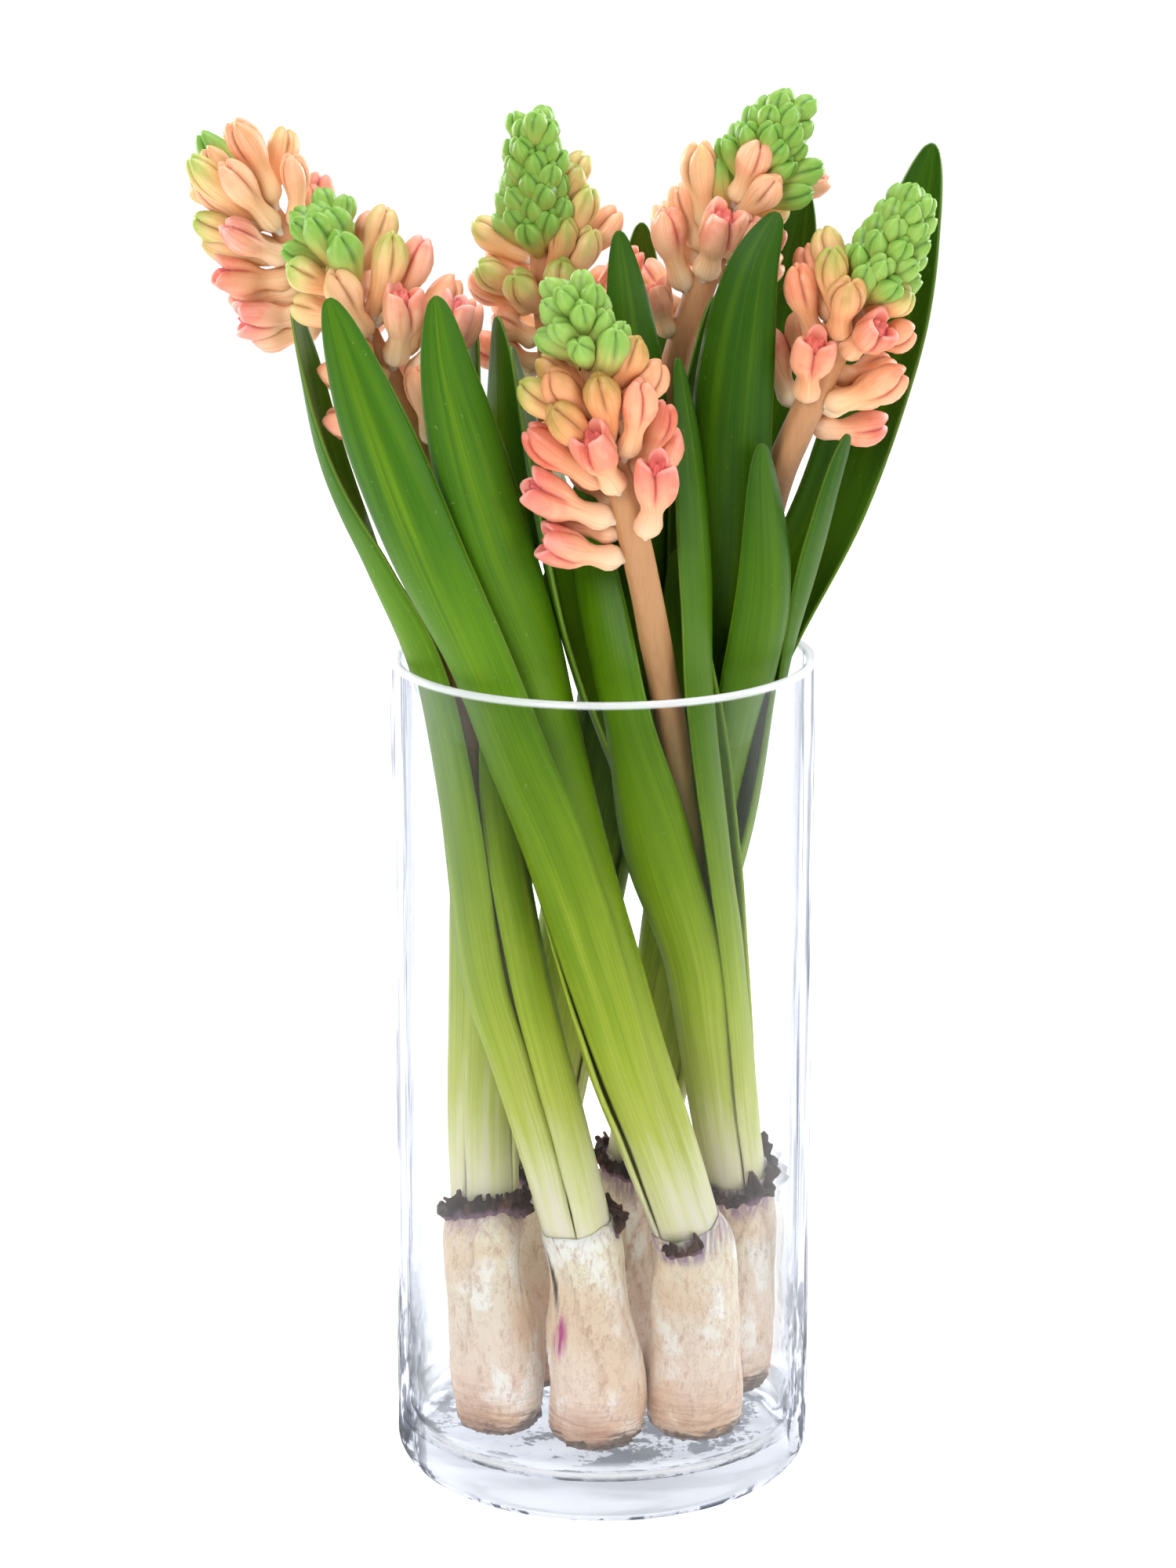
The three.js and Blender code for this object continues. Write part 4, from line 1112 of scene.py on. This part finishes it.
def makeSkin(plant, number, material):
    start, end = plant["collar"]
    span = end - start
    columns = max(18, round(span / 360 * skinShape["around"]))
    axis = plant["neckAxis"]
    neck = Vector(plant["stem"][0])
    bm = newMesh()
    layer = bm.verts.layers.float["along"]
    made = bmesh.ops.create_grid(bm, x_segments=columns, y_segments=skinShape["up"], size=0.5)["verts"]
    for vert in made:
        turn, rise = vert.co.x + 0.5, vert.co.y + 0.5
        azimuth = start + span * turn
        around = outward(azimuth)
        shifts = (number * 3.7, 0, 0), (0, number * 5.1, 0), (number, 0, 4)
        torn = sum(deep * wobble(around, close, *shift)
                   for (deep, close), shift in zip(skinShape["tears"], shifts))
        tall = max(skinShape["height"] + skinShape["ragged"] * torn, skinShape["least"])
        low = -skinShape["below"] * (1 + 0.8 * wobble(around, 5, 0, 0, number * 2.3))
        if span < 360:
            tall *= 0.3 + 0.7 * math.sin(math.pi * clamp(turn)) ** 0.5
        height = mix(low, tall, rise)
        fold = 0.4 + wobble(around, 5, 0, 0, height * 260 + number) \
            + 0.5 * wobble(around, 13, 2, 0, height * 520 + number)
        flare = skinShape["flare"] * rise * (0.4 + wobble(around, 5, 9, number, 0))
        radius = skinShape["radius"] + (skinShape["crumple"] * fold + flare) * ease(0, 0.5, rise)
        radius = max(radius, skinShape["radius"] - skinShape["press"])
        vert.co = neck + squareTo(axis, azimuth) * radius + axis * height
        vert[layer] = rise
    bmesh.ops.remove_doubles(bm, verts=made, dist=1e-7)
    bmesh.ops.recalc_face_normals(bm, faces=bm.faces)
    bmesh.ops.solidify(bm, geom=bm.faces[:], thickness=skinShape["thick"])
    finishPiece(bm, f"skin_{number}", material)


drySkin = skinFinish()
for number, plant in enumerate(plants, 1):
    makeSkin(plant, number, drySkin)
print("dry skins made")


# vase: half a wall section spun round
vaseShape = {
    "radius": 60 * mm, "height": 240 * mm, "wall": 3 * mm, "floor": 12 * mm, "heel": 8 * mm,
    "steps": 128, "corner": 10, "lip": (2.1 * mm, 1.2 * mm), "lipWhite": 0.6, "edgeClear": 0.85,
    "lightIn": 0.5, "clear": [(246, 247, 250), (66, 72, 88)], "tinge": 6.5,
}


def glassFinish():
    f = Finish("clear glass")
    seeds = f.grain(40, 2, 0.5, (1, 1, 0.2))
    f.set(baseColor=(250, 252, 253), transmissionWeight=1.0, roughness=0.0, iOR=1.45,
          normal=f.bump(seeds, 0.4 * mm, 0.04))
    # painted highlight: the fire-polished lip is given a pale, near-white finish, a white line that stands in
    # for the light it gathers
    height = f.axis(f.place(), 2)
    lip = height.ease(*(vaseShape["height"] - below for below in vaseShape["lip"])) * vaseShape["lipWhite"]
    pale = f.node("ShaderNodeBsdfPrincipled", None, {"Base Color": (244, 248, 250), "Roughness": 0.15})
    # seen edge on, the wall passes the white from behind, but for painted reflections: thin dark lines and
    # dark patches low down, and a painted grey shade over the thick foot
    facing = f.node("ShaderNodeLayerWeight", None, {"Blend": 0.5}, 1)
    waves = f.grain(110, 3, 0.6, (1, 1, 0.1))
    reflectionGrain = f.grain(80, 4, 0.7, (1, 1, 0.5))
    broad = f.grain(42, 4, 0.6, (0.5, 1, 1.6))
    low = 1 - height.ease(0.004, 0.085)
    standing = 1 - height.ease(0.2 * mm, 1.5 * mm)  # the flat underside, through which the white floor shows
    line = waves.ease(0.52, 0.62) * facing.ease(0.66, 0.86) * (1 - standing) * 0.75
    # painted reflection: dark patches low down where the glass is seen edge on
    darkReflection = reflectionGrain.ease(0.5, 0.57) * facing.ease(0.44, 0.62) * low * (1 - standing)
    foot = (1 - height.ease(0.009, 0.017)) * broad.ease(0.42, 0.64) * 0.2
    greyness = line.math("MAXIMUM", darkReflection).math("MAXIMUM", foot)
    bright, grey = (f.node("ShaderNodeBsdfTransparent", None, {"Color": c}) for c in vaseShape["clear"])
    clear = f.either(greyness, bright, grey)
    # and it lets half of the lamps' light in
    clearness = facing.ease(0.36, 0.72) * vaseShape["edgeClear"]
    lamps = f.node("ShaderNodeLightPath", out="Is Shadow Ray") * vaseShape["lightIn"]
    for other in (foot, lamps, standing):
        clearness = clearness.math("MAXIMUM", other)
    f.end(f.either(lip, f.either(clearness, f.lit, clear), pale))
    absorbing = {"Color": (206, 216, 232), "Density": vaseShape["tinge"]}
    f.end(f.node("ShaderNodeVolumeAbsorption", None, absorbing), "Volume")
    return f.owner


def makeVase(material):
    radius, height, wall = vaseShape["radius"], vaseShape["height"], vaseShape["wall"]
    floor, heel, corner = vaseShape["floor"], vaseShape["heel"], vaseShape["corner"]
    rim, inner = wall / 2, radius - wall

    def roundOff(x, z, r, start, end):
        for i in range(corner + 1):
            angle = math.radians(mix(start, end, i / corner))
            yield x + r * math.cos(angle), z + r * math.sin(angle)

    outline = [
        (0, 0),
        *roundOff(radius - heel, heel, heel, -90, 0),
        *roundOff(radius - rim, height - rim, rim, 0, 180),
        *roundOff(inner - heel, floor + heel, heel, 0, -90),
        (0, floor),
    ]
    bm = bmesh.new()
    chain = [bm.verts.new((x, 0, z)) for x, z in outline]
    edges = [bm.edges.new(pair) for pair in zip(chain, chain[1:])]
    bmesh.ops.spin(bm, geom=chain + edges, cent=(0, 0, 0), axis=(0, 0, 1), dvec=(0, 0, 0), angle=2 * math.pi,
                   steps=vaseShape["steps"], use_merge=True, use_duplicate=False)
    bmesh.ops.remove_doubles(bm, verts=bm.verts, dist=1e-6)
    finishPiece(bm, "vase", material)


makeVase(glassFinish())
print("vase made")


# floor, light and surroundings
studio = {
    "floorSize": 1.6,
    "under": 0.2 * mm,  # the floor lies just below the glass, so that their faces don't fight
    "lamps": [
        # place, size, watts
        ((-0.8, -1.5, 1.2), 0.8, 19),
        ((1.3, -1.0, 0.7), 0.8, 8),
        ((0.1, 0.2, 1.6), 1.0, 16),
        ((-1.1, 0.9, 0.6), 0.8, 16),
        ((1.1, 0.9, 0.6), 0.8, 16),
    ],
    "aim": (0, 0, 0.26),
    "soft": (0.2, 0.42),  # what the surroundings give the plants, from below and from above
    "mirrored": (0.05, 0.95),  # what shines back from the front of the room and from behind
    "white": 1.05,  # what the camera sees
    "floorGlow": 0.62,
}


def floorFinish():
    f = Finish("pale floor")
    f.set(baseColor=f.blend(f.grain(3) * 0.3, (250, 250, 250), (247, 248, 249)), roughness=0.6,
          emissionColor=(255, 255, 255), emissionStrength=studio["floorGlow"])
    # seen in a mirror image it is dim, so the front of the glass stays clear
    mirrored = f.node("ShaderNodeLightPath", out="Glossy Depth").math("GREATER_THAN", 0.5)
    front, behind = studio["mirrored"]
    strength = f.axis(f.place(), 1).ease(-0.30, -0.05) * (behind - front) + front
    dim = f.node("ShaderNodeEmission", None, {"Color": (255, 255, 255), "Strength": strength})
    f.end(f.either(mirrored, f.lit, dim))
    return f.owner


def makeStudio():
    bm = bmesh.new()
    bmesh.ops.create_grid(bm, x_segments=1, y_segments=1, size=studio["floorSize"])
    floor = addMesh(bm, "floor", floorFinish())
    floor.location.z = -studio["under"]
    for i, (place, size, watts) in enumerate(studio["lamps"]):
        data = bpy.data.lights.new(f"softbox{i}", "AREA")
        data.shape, data.size, data.energy = "SQUARE", size, watts
        lamp = addObject(f"softbox{i}", data)
        lamp.location = place
        lamp.rotation_euler = (Vector(studio["aim"]) - Vector(place)).to_track_quat("-Z", "Y").to_euler()
        lamp.visible_camera = False


def makeSurroundings():
    # the camera, and what it sees straight through the glass, meets plain white; the plants get a softer
    # light, and mirror images are bright only where they come from behind, as in a studio with a dark front
    f = Finish("surroundings", "worlds", "Background")

    def ray(name):
        return f.node("ShaderNodeLightPath", out=name)

    straight = ray("Is Camera Ray").math("MAXIMUM", ray("Is Transmission Ray"))
    for depth in ("Diffuse Depth", "Glossy Depth"):
        straight = straight * ray(depth).math("LESS_THAN", 0.5)
    scattered = ray("Diffuse Depth").math("GREATER_THAN", 0.5)
    sky = f.node("ShaderNodeTexCoord")
    mirrored = f.axis(sky, 1).spread(-0.5, 0, *studio["mirrored"])
    soft = f.axis(sky, 2).spread(-1, 1, *studio["soft"])
    dim = scattered.spread(0, 1, mirrored, soft)
    f.set(color=(255, 255, 255), strength=straight.spread(0, 1, dim, studio["white"]))
    bpy.context.scene.world = f.owner


makeStudio()
makeSurroundings()
view = bpy.context.scene.view_settings
view.view_transform = "Standard"
view.look = "None"
print("floor and light made")
